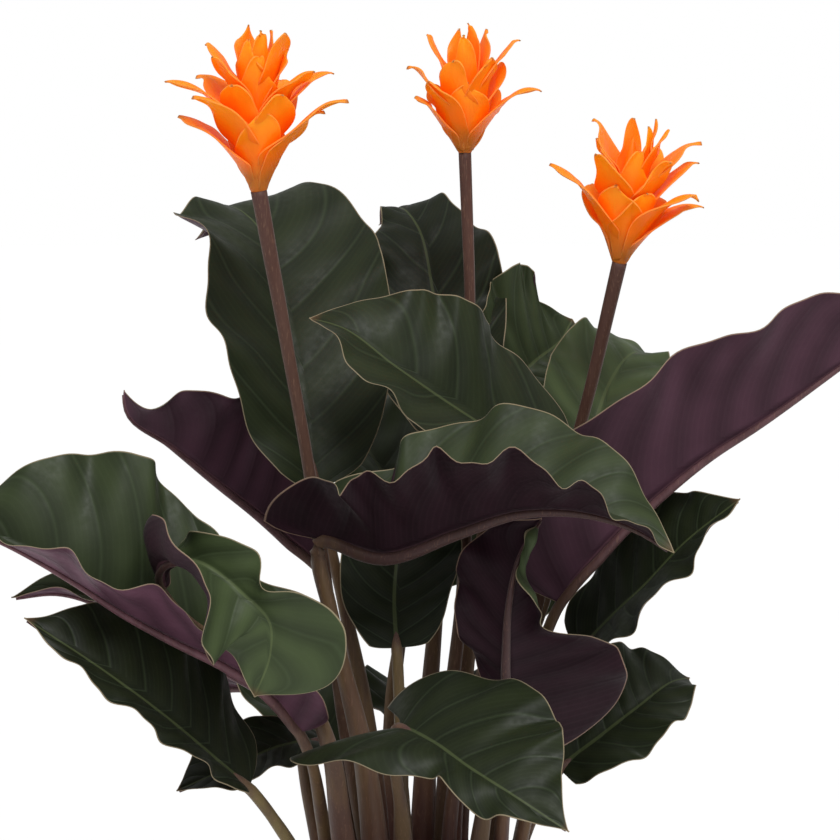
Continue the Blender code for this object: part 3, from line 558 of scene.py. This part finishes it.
green = lay_over(tree, green, lines["Margin"], 0.6, (168, 152, 124))
coat(tree, shader, green, grain, 0.40, 0.55)
bumped(tree, shader, maths(tree, "MULTIPLY_ADD", grain["Fine"], 0.3, lines["Height"]), 0.0002, 0.6)

under_finish, tree, shader = new_finish("leaf_under", Sheen_Weight=0.03, Sheen_Roughness=0.45,
                                        Specular_IOR_Level=0.13)
lines = use_group(tree, "Leaf lines", Rib_width=1.3, Margin_mm=0.5)
grain = use_group(tree, "Grain", Size_mm=22.0)
wine = tint(tree, stored(tree, "wine"), (31, 12, 20), (112, 74, 92))
wine = tint(tree, fade(tree, grain["Broad"], 0.3, 0.7, 0.0, 0.4), wine, tint(tree, 0.55, wine, (24, 9, 15)))
# Painted shade of the pleats: the same darker bands along the side veins.
wine = lay_over(tree, wine, lines["Pleat shade"], 0.5, tint(tree, 0.75, wine, (20, 8, 13)))
wine = lay_over(tree, wine, lines["Hairlines"], 0.03, (120, 84, 96))
wine = lay_over(tree, wine, lines["Rib"], 0.45, (132, 92, 102))
wine = lay_over(tree, wine, lines["Margin"], 0.6, (168, 138, 118))
coat(tree, shader, wine, grain, 0.46, 0.62)
raised = maths(tree, "MULTIPLY", lines["Height"], -1.0)
bumped(tree, shader, maths(tree, "MULTIPLY_ADD", grain["Fine"], 0.3, raised), 0.0002, 0.6)

stalk_finish, tree, shader = new_finish("leaf_stalk", Sheen_Weight=0.1, Sheen_Roughness=0.5,
                                        Specular_IOR_Level=0.35)
grain = use_group(tree, "Grain", Size_mm=5.0, Stretch=0.12)
along, stain = stored(tree, "along"), stored(tree, "stain")
skin = tint(tree, stain, (104, 90, 50), (84, 46, 38))
skin = tint(tree, fade(tree, along, 0.0, 0.45, 0.7, 0.0), skin, (98, 50, 48))
under_blade = tint(tree, stored(tree, "wine"), (46, 22, 26), (128, 84, 98))
skin = tint(tree, fade(tree, along, 0.9, 1.2, 0.0, 0.85), skin, under_blade)
skin = tint(tree, fade(tree, grain["Broad"], 0.35, 0.65, 0.0, 0.5), skin, (62, 34, 36))
skin = tint(tree, fade(tree, grain["Fine"], 0.55, 0.75, 0.0, 0.3), skin, (140, 106, 86))
coat(tree, shader, skin, grain, 0.42, 0.62)
bumped(tree, shader, grain["Height"], 0.0005, 0.6)

LEAVES = dict(
    # The tall leaf behind the left flower stalk; its tip hangs over backwards.
    tall_left=Leaf((-14, 13), [(-20, 13, 180), (-31, 11, 235)], [(-39, 14, 269), (-46, 30, 305), (-54, 48, 339),
        (-64, 72, 367), (-78, 92, 373), (-90, 104, 359)], up=[(0.2, -1, 0.2), (0.1, -0.95, 0.4), (-0.2, 0.3, 1)],
        width=((32, 37, 40, 38, 35, 42, 34, 16, 8), (40, 42, 44, 43, 43, 41, 42, 52, 80)),
        fold=((36, 42, 46, 30, 10), (10, 5, 5)), curl=((-20, -14, -20), (10, 0, -20)), full=0.48,
        waves=((3.4, 3.6, 0.35), (2.2, 3.6, 0.6)), tone=0.10),
    # The rounded upright leaf at the back.
    tall_back=Leaf((1, 17), [(4, 24, 180), (9, 36, 240)], [(12, 46, 284), (10, 58, 311), (6, 72, 340),
        (0, 90, 365), (-8, 108, 372), (-16, 122, 364)], up=[(0, -1, 0.2), (0, -0.95, 0.4), (0, 0.1, 1)],
        width=((28, 31, 27, 17, 14), (29, 29, 28, 22, 38)), fold=(8, 12), curl=((0, -10, -20), (0, -10, -20)),
        full=0.48, waves=((2.5, 3.5, 0.1), (3.0, 3.8, 0.3)), tone=0.0),
    # Two small leaves behind the middle one, on the right.
    small_back=Leaf((12, 20), [(17, 34, 180), (26, 52, 250)],
        [(32, 62, 298), (46, 72, 312), (58, 84, 321), (62, 90, 328)], up=(0.45, -0.87, 0.1),
        width=((36, 37, 37, 32, 34), 16), fold=(0, 30), waves=((2.0, 4.5, 0.1), (2, 3.5, 0.6)), full=0.55,
        tone=0.28, veins=6),
    back_right=Leaf((24, 17), [(34, 19, 180), (54, 19, 240)],
        [(62, 20, 270), (68, 30, 290), (75, 44, 307), (85, 62, 317), (97, 82, 311)],
        up=[(0, -1, 0.3), (0, -0.9, 0.5), (0.2, 0.1, 1)], width=(25, (24, 24, 24, 20, 12)), fold=(12, 12),
        tone=0.66, veins=6),
    # The broad leaf in the middle, its tip to the left.
    broad_middle=Leaf((11, -3), [(16, -2, 170), (37, 4, 232)],
        [(51, 4, 279), (22, -7, 297), (-8, -13, 318), (-29, -11, 333), (-41, -6, 336)],
        up=[(-0.1, -0.7, 0.7), (-0.2, -0.85, 0.5), (-0.2, -0.7, 0.7)], width=(24, (44, 38, 34)),
        fold=((50, 48, 40), (5, 5, 0)), curl=(-10, (-10, -15, -20)), full=0.4,
        waves=((2.2, 3.6, 0.1), (1.6, 3.8, 0.6)), tone=0.10, veins=6),
    # The large leaf across the front, folded like a boat, with the most waved margin.
    boat_front=Leaf((-15, -25), [(-20, -27, 170), (-32, -31, 225)], [(-36, -34, 255), (-12, -46, 252),
        (14, -55, 262), (37, -62, 270), (63, -68, 270), (81, -72, 264), (93, -74, 256)],
        up=[(0, -0.25, 1), (0, -0.25, 1), (0.3, -0.4, 0.9)], width=((42, 42, 44, 38, 32), (46, 42, 37)),
        fold=((74, 50, 30), (72, 63, 34)), curl=((-10, -20, -20), (-15, -24, -20)), lobe=(8, 22),
        waves=((2.4, 4.2, 0.1), (3.0, 6.2, 0.65)), full=0.4, tone=0.28, wine=0.04, veins=9, stem=3.0,
        sheath=(6.2, 4.0)),
    # The folded leaf on the left, its underside to the front.
    folded_left=Leaf((-24, 20), [(-26, 42, 160), (-33, 64, 205)], [(-40, 70, 230), (-52, 64, 243),
        (-61, 58, 252), (-79, 46, 268), (-96, 32, 284), (-112, 22, 298), (-113, 20, 306)],
        up=[(0.6, 0, 0.8), (0.6, 0, 0.8), (0.5, -0.2, 0.8)], width=((40, 37, 36, 40, 50), (24, 20, 8)),
        fold=((86, 84, 56), 60), curl=(-15, -10), lobe=(4, 0), waves=((1.8, 3.8, 0.1), (2, 4.2, 0.6)), full=0.5,
        tone=0.45, wine=0.38),
    # The long leaf on the lower left; its far half stands up and shows the green side.
    long_left=Leaf((-33, -10), [(-36, -26, 148)], [(-44, -52, 186), (-54, -60, 202), (-69, -68, 214),
        (-89, -74, 225), (-106, -78, 235), (-124, -80, 247), (-150, -79, 261), (-172, -72, 268)],
        up=(0, -0.3, 0.9), width=(32, (56, 48, 38, 43, 54, 58, 62, 66, 66)),
        fold=((50, 48, 42), (62, 65, 55)), curl=(-10, -25), waves=((2.6, 4.6, 0.1), (3.2, 4.2, 0.75)), full=0.35,
        tone=0.25, wine=0.8, veins=9),
    # A small pointed leaf behind it.
    pointed_left=Leaf((-36, 5), [(-42, 4, 150)],
        [(-50, -3, 186), (-81, -26, 211), (-110, -42, 230), (-134, -48, 238), (-150, -50, 236)],
        up=(0.2, -0.2, 1), width=(17, 20), fold=(25, 40), waves=((1.8, 3.5, 0.1), (1.8, 3.5, 0.6)), tone=0.4,
        wine=0.6),
    # The curled leaf on the left: it turns back towards the middle and bends down at the front.
    curled_left=Leaf((-25, -31), [(-29, -38, 150), (-33, -47.5, 180), (-40, -56.8, 198), (-52, -62.8, 209.5),
        (-66, -69.8, 220.5), (-82, -76.5, 231)], [(-92, -83, 244), (-90, -95, 256), (-77, -106, 257),
        (-62, -112, 247), (-52, -114, 236), (-52, -113, 226), (-58, -108, 209)],
        up=[(0.3, 0, 1), (0.1, -0.9, 0.5), (0, -0.95, -0.3)],
        width=((10, 8, 9, 12, 14, 11, 30, 50, 30), (28, 26, 26, 30, 26)),
        fold=((40, 40, 45, 34, 10), (20, 15, 15, 5, 0)), curl=((10, 10, 10, 0, -20), (110, 100, 40, 0, -20)),
        stem=1.5, sheath=(6.2, 4.0), sweep=((0, 0, 0, 0, 0, 0, -0.7, -0.6, 0), (0.5, 0.55, 0.2, 0.1, 0)),
        waves=((2.8, 3.4, 0.1), (2.6, 3.7, 0.6)), full=0.5, tone=0.5, wine=0.12, veins=7),
    # The dark leaf low on the left.
    low_left=Leaf((-31, -42), [(-45, -50, 140)],
        [(-62, -62, 167), (-76, -75, 183), (-93, -86, 200), (-114, -92, 217), (-141, -92, 235)],
        up=(0.2, -0.7, 0.7), width=(11, (44, 40, 34)), fold=(20, 5), curl=(-10, -10),
        waves=((1.8, 4.2, 0.1), (1.8, 4.6, 0.3)), tone=0.0, stain=0.1),
    # The low leaf at the front, coming forward and to the right.
    low_front=Leaf((-4, -31), [(-6, -37, 150)],
        [(-7, -54, 188), (6, -71, 186), (18, -85, 180), (34, -98, 172), (54, -106, 160)],
        up=[(0.25, -0.75, 0.65), (0.2, -0.75, 0.65), (0.2, -0.9, 0.4)],
        width=((20, 32, 40, 42, 42, 41, 40, 37, 34), (54, 46, 29, 14, 16, 19, 16, 15, 12)),
        fold=((20, 12, 5), (24, 6, 0)), curl=(-10, -20), lobe=(24, 19), full=0.12,
        waves=((2.0, 3.6, 0.1), (3.2, 3.4, 0.6)), tone=0.07, veins=7),
    # The dark leaf on the right.
    dark_right=Leaf((37, 3), [(46, 10, 160)],
        [(63, 18, 205), (75, 8, 221), (86, -4, 234), (101, -14, 252), (121, -20, 269)], up=(-0.3, -0.75, 0.6),
        width=(27, (28, 22, 14)), fold=(10, 25), curl=(-10, 10), tone=0.01, wine=0.6, stain=0.2),
    # The small round leaf low on the right.
    round_right=Leaf((35, 16), [(42, 18, 135)],
        [(55, 20, 158), (71, 22, 171), (86, 26, 182), (99, 34, 190), (107, 44, 190)],
        up=[(-0.2, -0.8, 0.55), (-0.2, -0.8, 0.55), (0, -0.6, 0.8)], width=((27, 27, 27, 31, 44), 19),
        fold=(12, 15), curl=(-10, -10), tone=0.06, veins=7),
    # The upright leaf at the front, its underside outwards.
    upright_front=Leaf((21, -21), [(25, -22, 150)],
        [(33, -27, 188), (33, -36, 212), (34, -42, 233), (38, -42, 251), (46, -38, 264)],
        up=[(0.1, 0.95, 0.3), (0.1, 0.95, 0.3), (0.3, 0.6, 0.7)], width=((62, 44, 22, 22, 24), (8, 24, 38)),
        fold=(20, 25), curl=((0, -20, -100, -240, -300), -10), lobe=(20, 0), full=0.3,
        waves=((3.2, 3.5, 0.1), (3.0, 3.2, 0.6)), tone=0.5, wine=0.05, veins=7),
    # The long folded leaf reaching out on the right.
    long_right=Leaf((31, -9), [(34, -10, 160), (45, -8, 205)], [(54, -6, 227), (71, -11, 250), (93, -15, 272),
        (109, -16, 285), (127, -18, 297), (158, -17, 319), (184, -12, 337), (204, -5, 347)],
        up=(-0.5, -0.1, 0.85), width=(24, (56, 43, 46)), fold=(60, (80, 76, 60)), curl=(-10, -20),
        lobe=(0, 12), waves=((2, 4.5, 0.1), (2.4, 4.2, 0.35)), full=0.4, tone=0.4, wine=0.36, veins=10),
    # A dark upright leaf in the middle of the clump.
    inner=Leaf((-5, -7), [(-6, -10, 160)],
        [(-8, -12, 211), (-9, -6, 228), (-8, 4, 246), (-8, 14, 262), (-8, 20, 274)],
        up=[(0, -1, 0.2), (0, -1, 0.2), (0, -0.7, 0.6)], width=(22, 25), fold=(15, 15),
        waves=((1.5, 2.5, 0.1), (1.5, 2.5, 0.6)), tone=0.0, stain=0.2),
    # A drooping leaf low on the left.
    drooping_left=Leaf((-26, -3), [(-27, -5, 155)],
        [(-36, -12, 175), (-50, -22, 176), (-67, -32, 171), (-80, -38, 166), (-90, -42, 162)],
        up=(-0.1, -0.5, 0.85), width=(14, 18), fold=(5, 5), waves=((1.5, 2.5, 0.1), (1.5, 2.5, 0.6)), tone=0.0),
    # Six leaves at the rear.
    rear_left=Leaf((-11, 32), [(-10, 42, 180)],
        [(-5, 61.5, 244), (-16, 81.5, 270), (-30, 104, 284), (-44, 128, 288), (-54, 146, 280)],
        up=[(0.1, -0.6, 0.8), (0, 0, 1), (-0.3, 0.5, 0.8)], width=((18, 27, 27), (18, 27, 29)), tone=0.4),
    rear_right=Leaf((15, 32), [(20, 38, 165)],
        [(33.5, 48, 210), (47, 68, 232), (60, 94, 246), (72, 118, 248), (82, 138, 238)],
        up=[(-0.1, -0.6, 0.8), (0, 0, 1), (0.3, 0.5, 0.8)], width=(29, 31), tone=0.3),
    rear_low_left=Leaf((-22, 34), [(-27, 44, 140)],
        [(-34, 56, 160), (-50, 74, 174), (-68, 94, 178), (-86, 112, 172), (-100, 124, 158)],
        up=[(0.1, -0.4, 0.9), (0, 0, 1), (-0.3, 0.5, 0.8)], width=(28, 28), tone=0.2, stain=0.2),
    rear_low_right=Leaf((27, 30), [(31, 40, 140)],
        [(38, 54, 164), (54, 72, 178), (72, 90, 182), (88, 104, 176), (98, 116, 164)],
        up=[(-0.1, -0.4, 0.9), (0, 0, 1), (0.3, 0.5, 0.8)], width=(27, 27), tone=0.35),
    rear_middle=Leaf((3, 30), [(4, 40, 175)],
        [(7, 60, 223), (11, 86, 250), (15, 114, 262), (20, 140, 258), (23, 160, 244)],
        up=[(0, -0.6, 0.8), (0, 0, 1), (0.1, 0.5, 0.8)], width=(31, (22, 28, 30)), tone=0.35),
    rear_low_middle=Leaf((2, 42), [(2, 50, 138)], [(2, 66, 162), (2, 90, 172), (2, 114, 170), (2, 136, 156)],
        up=[(0, -0.4, 0.9), (0, 0, 1), (0.1, 0.5, 0.8)], width=(28, 28), tone=0.2, stain=0.2),
)

for number, (leaf_name, leaf) in enumerate(LEAVES.items()):
    points, faces, marks, numbers, uv = leaf_sheet(leaf, 1.7 * number)
    more_points, more_faces, along, more_uv = leaf_stalk(leaf)
    more_faces = [f + len(points) for f in more_faces]
    more = {"rib": NOT_ON_BLADE, "edge": NOT_ON_BLADE, "vein": 0.25, "along": along}
    numbers = {k: np.concatenate([v, more[k] + 0 * along]) for k, v in numbers.items()}
    total = len(points) + len(more_points)
    numbers |= {key: np.full(total, getattr(leaf, key)) for key in ("tone", "wine", "stain")}
    piece = put_mesh("calathea_leaf_" + leaf_name, np.vstack([points, more_points]), [*faces, *more_faces],
                     [upper_finish, under_finish, stalk_finish],
                     finish_of=np.concatenate([marks, np.full(len(more_faces), 2)]),
                     numbers=numbers, uv=np.vstack([uv, more_uv]))
    belongs(piece, "leaf", "leaf_" + leaf_name)


# Flower stalks
# Slim brown stalks that stand up out of the clump and swell a little under the flower head. The skin is
# dull, finely furred and streaked lengthwise, more purple towards the top.

FLOWER_STALKS = {
    # soil, then the points up to the head; the stalk's radius at the soil, halfway and under the head
    "left": (((-16, -12, COLLAR), (-28, -12, 184), (-35, -16, 238), (-40, -18, 274), (-50, -22, 333),
              (-59, -28, 385)), (3.0, 2.3, 3.1)),
    "middle": (((8, 8, COLLAR), (12, 12, 180), (17, 14, 227), (20, 20, 296), (20, 24, 339), (18, 26, 397)),
               (3.0, 2.0, 2.5)),
    "right": (((26, 2, COLLAR), (38, 6, 193), (48, 8, 234), (54, 8, 265), (63, 4, 298), (76, -6, 357)),
              (3.0, 2.2, 2.9)),
}
FLOWER_STALK_SIDES, FLOWER_STALK_ROWS, FLOWER_STALK_FOOT = 24, 120, 8.0

furred, tree, shader = new_finish("flower_stalk", Sheen_Weight=0.15, Sheen_Roughness=0.35, Roughness=0.6,
                                  Specular_IOR_Level=0.3)
grain = use_group(tree, "Grain", Size_mm=4.0, Stretch=0.10)
skin = tint(tree, stored(tree, "along"), (86, 64, 42), (78, 50, 43))
skin = tint(tree, fade(tree, grain["Broad"], 0.35, 0.65, 0.0, 0.6), skin, (72, 44, 34))
skin = tint(tree, fade(tree, grain["Fine"], 0.55, 0.72, 0.0, 0.4), skin, (128, 98, 78))
coat(tree, shader, skin)
bumped(tree, shader, grain["Height"], 0.0004, 0.7)

stalk_tops = {}
for side_name, (knots, radii) in FLOWER_STALKS.items():
    line = smooth_line(knots)
    lengths = lengths_along(line)
    where = np.linspace(0, lengths[-1], FLOWER_STALK_ROWS)
    place = read_along(lengths, line, where)
    tangent = unit(read_along(lengths, np.gradient(line, lengths, axis=0), where))
    tangent[0] = (0, 0, 1)
    place[0, 2] -= FLOWER_STALK_FOOT
    across = unit(np.cross(tangent, (0, -1, 0)))
    other = np.cross(across, tangent)
    u = where / lengths[-1]
    radius = from_base_to_tip(radii, u ** 1.6)
    a = -full_turn(FLOWER_STALK_SIDES)
    ribs = radius[:, None] * (1 + 0.018 * np.cos(6 * a + 3 * u[:, None]) + 0.012 * np.sin(40 * u[:, None] + a))
    points = (place[:, None] + (ribs * np.cos(a))[..., None] * across[:, None]
              + (ribs * np.sin(a))[..., None] * other[:, None])
    faces = list(sheet_faces(FLOWER_STALK_ROWS, FLOWER_STALK_SIDES, around=True))
    ends = np.arange(FLOWER_STALK_SIDES)
    faces += [ends[::-1], ends + (FLOWER_STALK_ROWS - 1) * FLOWER_STALK_SIDES]
    piece = put_mesh("calathea_flower_stalk_" + side_name, points.reshape(-1, 3), faces, [furred],
                     numbers={"along": np.repeat(u, FLOWER_STALK_SIDES)})
    belongs(piece, "stalk", "flower_stalk_" + side_name)
    stalk_tops[side_name] = place[-1]


# Flower heads
# A spindle of broad waxy bracts, each cupped round the one above, bright orange, duller and browner at
# the foot, with a drawn-out tip that bends outwards and dries to a brown point. The orange is painted
# lighter towards the tips as painted light, and the bracts glow faintly in their own colour, also painted light.

BRACT_ROWS, BRACT_COLUMNS = 30, 17
BRACT_THICK, BRACT_LENGTH = 0.6, 34.0
FUNNEL_RADIUS = 3.0
FLOWER_HEADS = {
    # each bract: its direction in degrees (0 to the viewer's right, 90 away), its tip's distance from the
    # axis and height in mm, its width, and how far it arches above its tip
    "left": ((172, 30, 28.5, 26, 1), (-6, 25, 29.5, 24, 1), (-82, 12, 29, 27, 0), (95, 26, 29, 27, 2),
        (-170, 34, 41.5, 29, 3), (-10, 34, 33.5, 26, 2), (-48, 17, 36, 25, 1), (68, 30, 40, 26, 2),
        (12, 29, 43, 27, 4), (150, 27, 43, 25, 3), (-126, 17, 40, 25, 1), (176, 19, 54.5, 22, 2),
        (-152, 18, 50, 20, 2), (8, 12, 53, 21, 1), (-22, 13, 58.5, 20, 1), (-82, 8, 50, 22, 1),
        (95, 14, 53, 21, 2), (130, 5, 62, 17, 0), (-65, 4, 60, 17, 0), (20, 6, 60, 15, 0),
        (-110, 6, 56, 17, 0), (-30, 24, 44, 22, 3), (-145, 26, 36, 24, 2)),
    "middle": ((178, 19, 22, 19, 1), (-172, 22, 33.5, 22, 2), (165, 15, 45.5, 18, 1), (120, 6, 47.5, 14, 0),
        (60, 3, 50.5, 14, 0), (20, 9, 48, 14, 0), (8, 21, 43.5, 22, 1), (28, 18, 34.5, 19, 1),
        (-6, 29.5, 24, 22, 4), (-80, 8, 28, 24, 0), (-118, 12, 36, 20, 1), (80, 20, 30, 22, 2),
        (105, 16, 40, 20, 1), (-42, 13, 37, 20, 1), (-90, 4, 46, 15, 0), (50, 19, 24, 20, 1),
        (130, 18, 26, 20, 1), (-140, 17, 28, 20, 1)),
    "right": ((178, 30, 34.5, 26, 1), (166, 16, 53, 23, 1), (90, 4, 55, 14, 0), (10, 8, 55, 15, 0),
        (-10, 13, 52, 16, 1), (5, 26, 48.5, 21, 1), (22, 27, 40.5, 21, 1), (-14, 27, 26.5, 24, 5),
        (12, 30, 24, 22, 3), (-112, 12, 30, 26, 0), (-58, 11, 28, 26, 0), (-135, 18, 40, 24, 1),
        (60, 20, 44, 22, 2), (100, 24, 35, 24, 1), (132, 22, 28, 23, 1), (-76, 8, 43, 21, 0),
        (-30, 6, 52, 15, 1), (-165, 14, 46, 18, 1), (45, 20, 26, 22, 1), (-35, 18, 40, 20, 2)),
}


def bract_sheet(turn, reach, height, width, droop, seed):
    """One bract as a closed shell, about the head's axis.

    Its middle line leaves the funnel, 3 + (5 to 7.6) (1 - (1 - t)^2), for its reach by t^1.9, climbs as
    1 - (1 - t)^1.3, and arches by droop t^2 (1 - t). Across, it is an arc round the axis at t = 0 that
    opens, with a crease and waved margins; half its width is full by t = 0.45 and runs out to a point.
    """
    t = np.linspace(0, 1, BRACT_ROWS)[:, None]
    q = np.sin(np.linspace(-1, 1, BRACT_COLUMNS) * math.pi / 2)[None, :]
    start = max(0.5, height - BRACT_LENGTH)
    lower = np.clip((40 - height) / 14, 0, 1)
    r = (FUNNEL_RADIUS + (5.0 + 2.6 * lower) * (1 - (1 - t) ** 2)) * (1 - t**1.9) + reach * t**1.9
    h = start + (height - start) * (1 - (1 - t) ** 1.3) + 6.75 * droop * t**2 * (1 - t)
    u = np.clip((t - 0.36) / 0.64, 0, 1)
    half = width / 2 * (0.5 + 0.5 * np.sin(np.minimum(t / 0.45, 1) * math.pi / 2)) * (1 - u**1.9)
    half = np.maximum(half * (1 + 0.07 * np.sin(11 * t + seed)), 0.25)
    spread = half / (r * (1 - 0.25 * t) + 1.2 + 9.0 * t**2)
    wave = (1.5 * q**3 * np.sin(10 * t + seed) + 0.9 * q**2 * np.sin(15 * t + 2 * seed)) * np.minimum(half / 7, 1) * t
    out = r + wave + (0.05 + 0.22 * u) * half * q**2
    crease = 1.1 * np.exp(-((half * q / 2.0) ** 2)) * t
    roll = half * (0.10 - 0.40 * t) * q**2 + 0.9 * np.sin(12 * t + 2.1 * seed) * q**2 - crease
    angle = math.radians(turn) + q * np.minimum(spread, 1.35) + 0.12 * np.sin(4 * t + seed) * t
    top = np.stack([out * np.cos(angle), out * np.sin(angle), h + roll + 0 * out], axis=-1)
    normal = unit(np.cross(np.gradient(top, axis=0), np.gradient(top, axis=1)) + 1e-12)
    under = top + normal * BRACT_THICK
    count = top.shape[0] * top.shape[1]
    faces = np.concatenate(shell_faces(BRACT_ROWS, BRACT_COLUMNS, flip=True))
    numbers = {"along": np.tile((t + 0 * q).ravel(), 2), "edge": np.tile((half * (1 - np.abs(q))).ravel(), 2),
               "back": np.repeat([0.0, 1.0], count), "high": np.tile((h + 0 * q).ravel(), 2)}
    return np.concatenate([top.reshape(-1, 3), under.reshape(-1, 3)]), faces, numbers


# The bract glows faintly in its own colour (emission strength 0.10): painted light, not a lamp.
waxy_glowing, tree, shader = new_finish("bract", Subsurface_Weight=0.4, Subsurface_Scale=0.004, Specular_IOR_Level=0.2,
                                Emission_Strength=0.10)
shader.inputs["Subsurface Radius"].default_value = (1.0, 0.4, 0.1)
grain = use_group(tree, "Grain", Size_mm=9.0, Stretch=0.4)
along, edge, back, high = (stored(tree, key) for key in ("along", "edge", "back", "high"))
# Painted light: lighter and yellower towards the tips, where they catch the light.
flame = tint(tree, fade(tree, along, 0.3, 0.95), (249, 110, 2), (253, 148, 16))
flame = lay_over(tree, flame, back, 0.4, (255, 126, 40))
flame = tint(tree, fade(tree, grain["Broad"], 0.35, 0.7, 0.0, 0.4), flame, (252, 128, 4))
flame = tint(tree, fade(tree, high, 1.0, 15.0, 0.9, 0.0), flame, (178, 98, 30))
flame = tint(tree, fade(tree, grain["Fine"], 0.60, 0.78, 0.0, 0.2), flame, (226, 104, 16))
flame = tint(tree, fade(tree, edge, 0.5, 0.0, 0.0, 0.25), flame, (232, 150, 92))
flame = tint(tree, fade(tree, along, 0.97, 1.0, 0.0, 0.8), flame, (160, 108, 64))
coat(tree, shader, flame, grain, 0.40, 0.55)
tree.links.new(flame, shader.inputs["Emission Color"])
bumped(tree, shader, grain["Height"], 0.0005, 0.5)

HEAD_LEAN = {"left": -1.0, "middle": 0.0, "right": 6.0}
CORE_SIZE = {"left": 1.0, "middle": 0.82, "right": 0.92}
CORE_SIDES, HEAD_LIFT = 20, 0.3
HEAD_CORE = ((0.0, -1.6), (2.4, -1.4), (3.3, 0.2), (4.2, 3.0), (5.8, 9.0), (5.8, 18.0), (4.2, 30.0), (2.4, 42.0),
             (0.8, 50.0), (0.0, 51.0))
for side_name, bracts in FLOWER_HEADS.items():
    lean = math.radians(HEAD_LEAN[side_name])
    axis = np.array([math.sin(lean), 0, math.cos(lean)])
    core = turned_points(HEAD_CORE, CORE_SIDES) * CORE_SIZE[side_name]
    points, faces = [core], [sheet_faces(len(HEAD_CORE), CORE_SIDES, around=True)]
    sheets = [{"along": np.full(len(core), 0.2), "edge": np.full(len(core), 5.0), "back": np.zeros(len(core)),
               "high": core[:, 2]}]
    for number, bract in enumerate(bracts):
        p, f, numbers = bract_sheet(*bract, 2.3 * number)
        faces.append(f + sum(map(len, points)))
        points.append(p)
        sheets.append(numbers)
    across = unit(np.cross(axis, (0, -1, 0)))
    turned = np.array([across, np.cross(axis, across), axis])
    foot = stalk_tops[side_name] + axis * HEAD_LIFT
    piece = put_mesh("calathea_flower_head_" + side_name, np.vstack(points) @ turned + foot, np.vstack(faces),
                     [waxy_glowing], numbers={k: np.concatenate([n[k] for n in sheets]) for k in sheets[0]})
    belongs(piece, "bract", "flower_head_" + side_name)


# Studio
# A plain white floor under even white light, one broad soft light from above the camera, and the camera
# at the photograph's height, looking a little down.

CAMERA_RANGE, CAMERA_TILT = 1.5, math.radians(6.0)
CAMERA_TARGET = np.array([0.0008, 0.0, 0.2966])
CAMERA_LENS, CAMERA_SENSOR = 169.2, 36.0
SUN_STRENGTH, SUN_SIZE, SUN_TILT, SUN_TURN = 2.3, math.radians(30), math.radians(38), math.radians(14)
FLOOR_RADIUS, FLOOR_HEIGHT = 6000, -0.2

sun = bpy.data.objects.new("broad_light", bpy.data.lights.new("broad_light", "SUN"))
sun.data.energy, sun.data.angle = SUN_STRENGTH, SUN_SIZE
sun.rotation_euler = (SUN_TILT, 0, SUN_TURN)
bpy.context.scene.collection.objects.link(sun)

floor_finish, tree, shader = new_finish("floor", Roughness=0.9, Specular_IOR_Level=0.1)
grain = use_group(tree, "Grain", Size_mm=300.0)
coat(tree, shader, tint(tree, grain["Broad"], (0.945, 0.945, 0.945, 1), (0.96, 0.96, 0.96, 1)))
disc = turned_points(((0, FLOOR_HEIGHT), (FLOOR_RADIUS, FLOOR_HEIGHT)), 96)
floor = put_mesh("floor", disc, sheet_faces(2, 96, around=True), [floor_finish])

world = bpy.data.worlds.new("studio")
bpy.context.scene.world = world
world.use_nodes = True
tree = world.node_tree
sky = tree.nodes["Background"]
seen = put_node(tree, "ShaderNodeLightPath").outputs["Is Camera Ray"]
tree.links.new(maths(tree, "MULTIPLY_ADD", seen, 0.5, 0.5), sky.inputs["Strength"])
sky.inputs["Color"].default_value = (1, 1, 1, 1)

camera = bpy.data.objects.new("camera", bpy.data.cameras.new("camera"))
camera.data.lens, camera.data.sensor_width = CAMERA_LENS, CAMERA_SENSOR
camera.location = CAMERA_TARGET + CAMERA_RANGE * np.array([0, -math.cos(CAMERA_TILT), math.sin(CAMERA_TILT)])
camera.rotation_euler = (math.pi / 2 - CAMERA_TILT, 0, 0)
bpy.context.scene.collection.objects.link(camera)
bpy.context.scene.camera = camera
bpy.context.scene.view_settings.view_transform = "Standard"
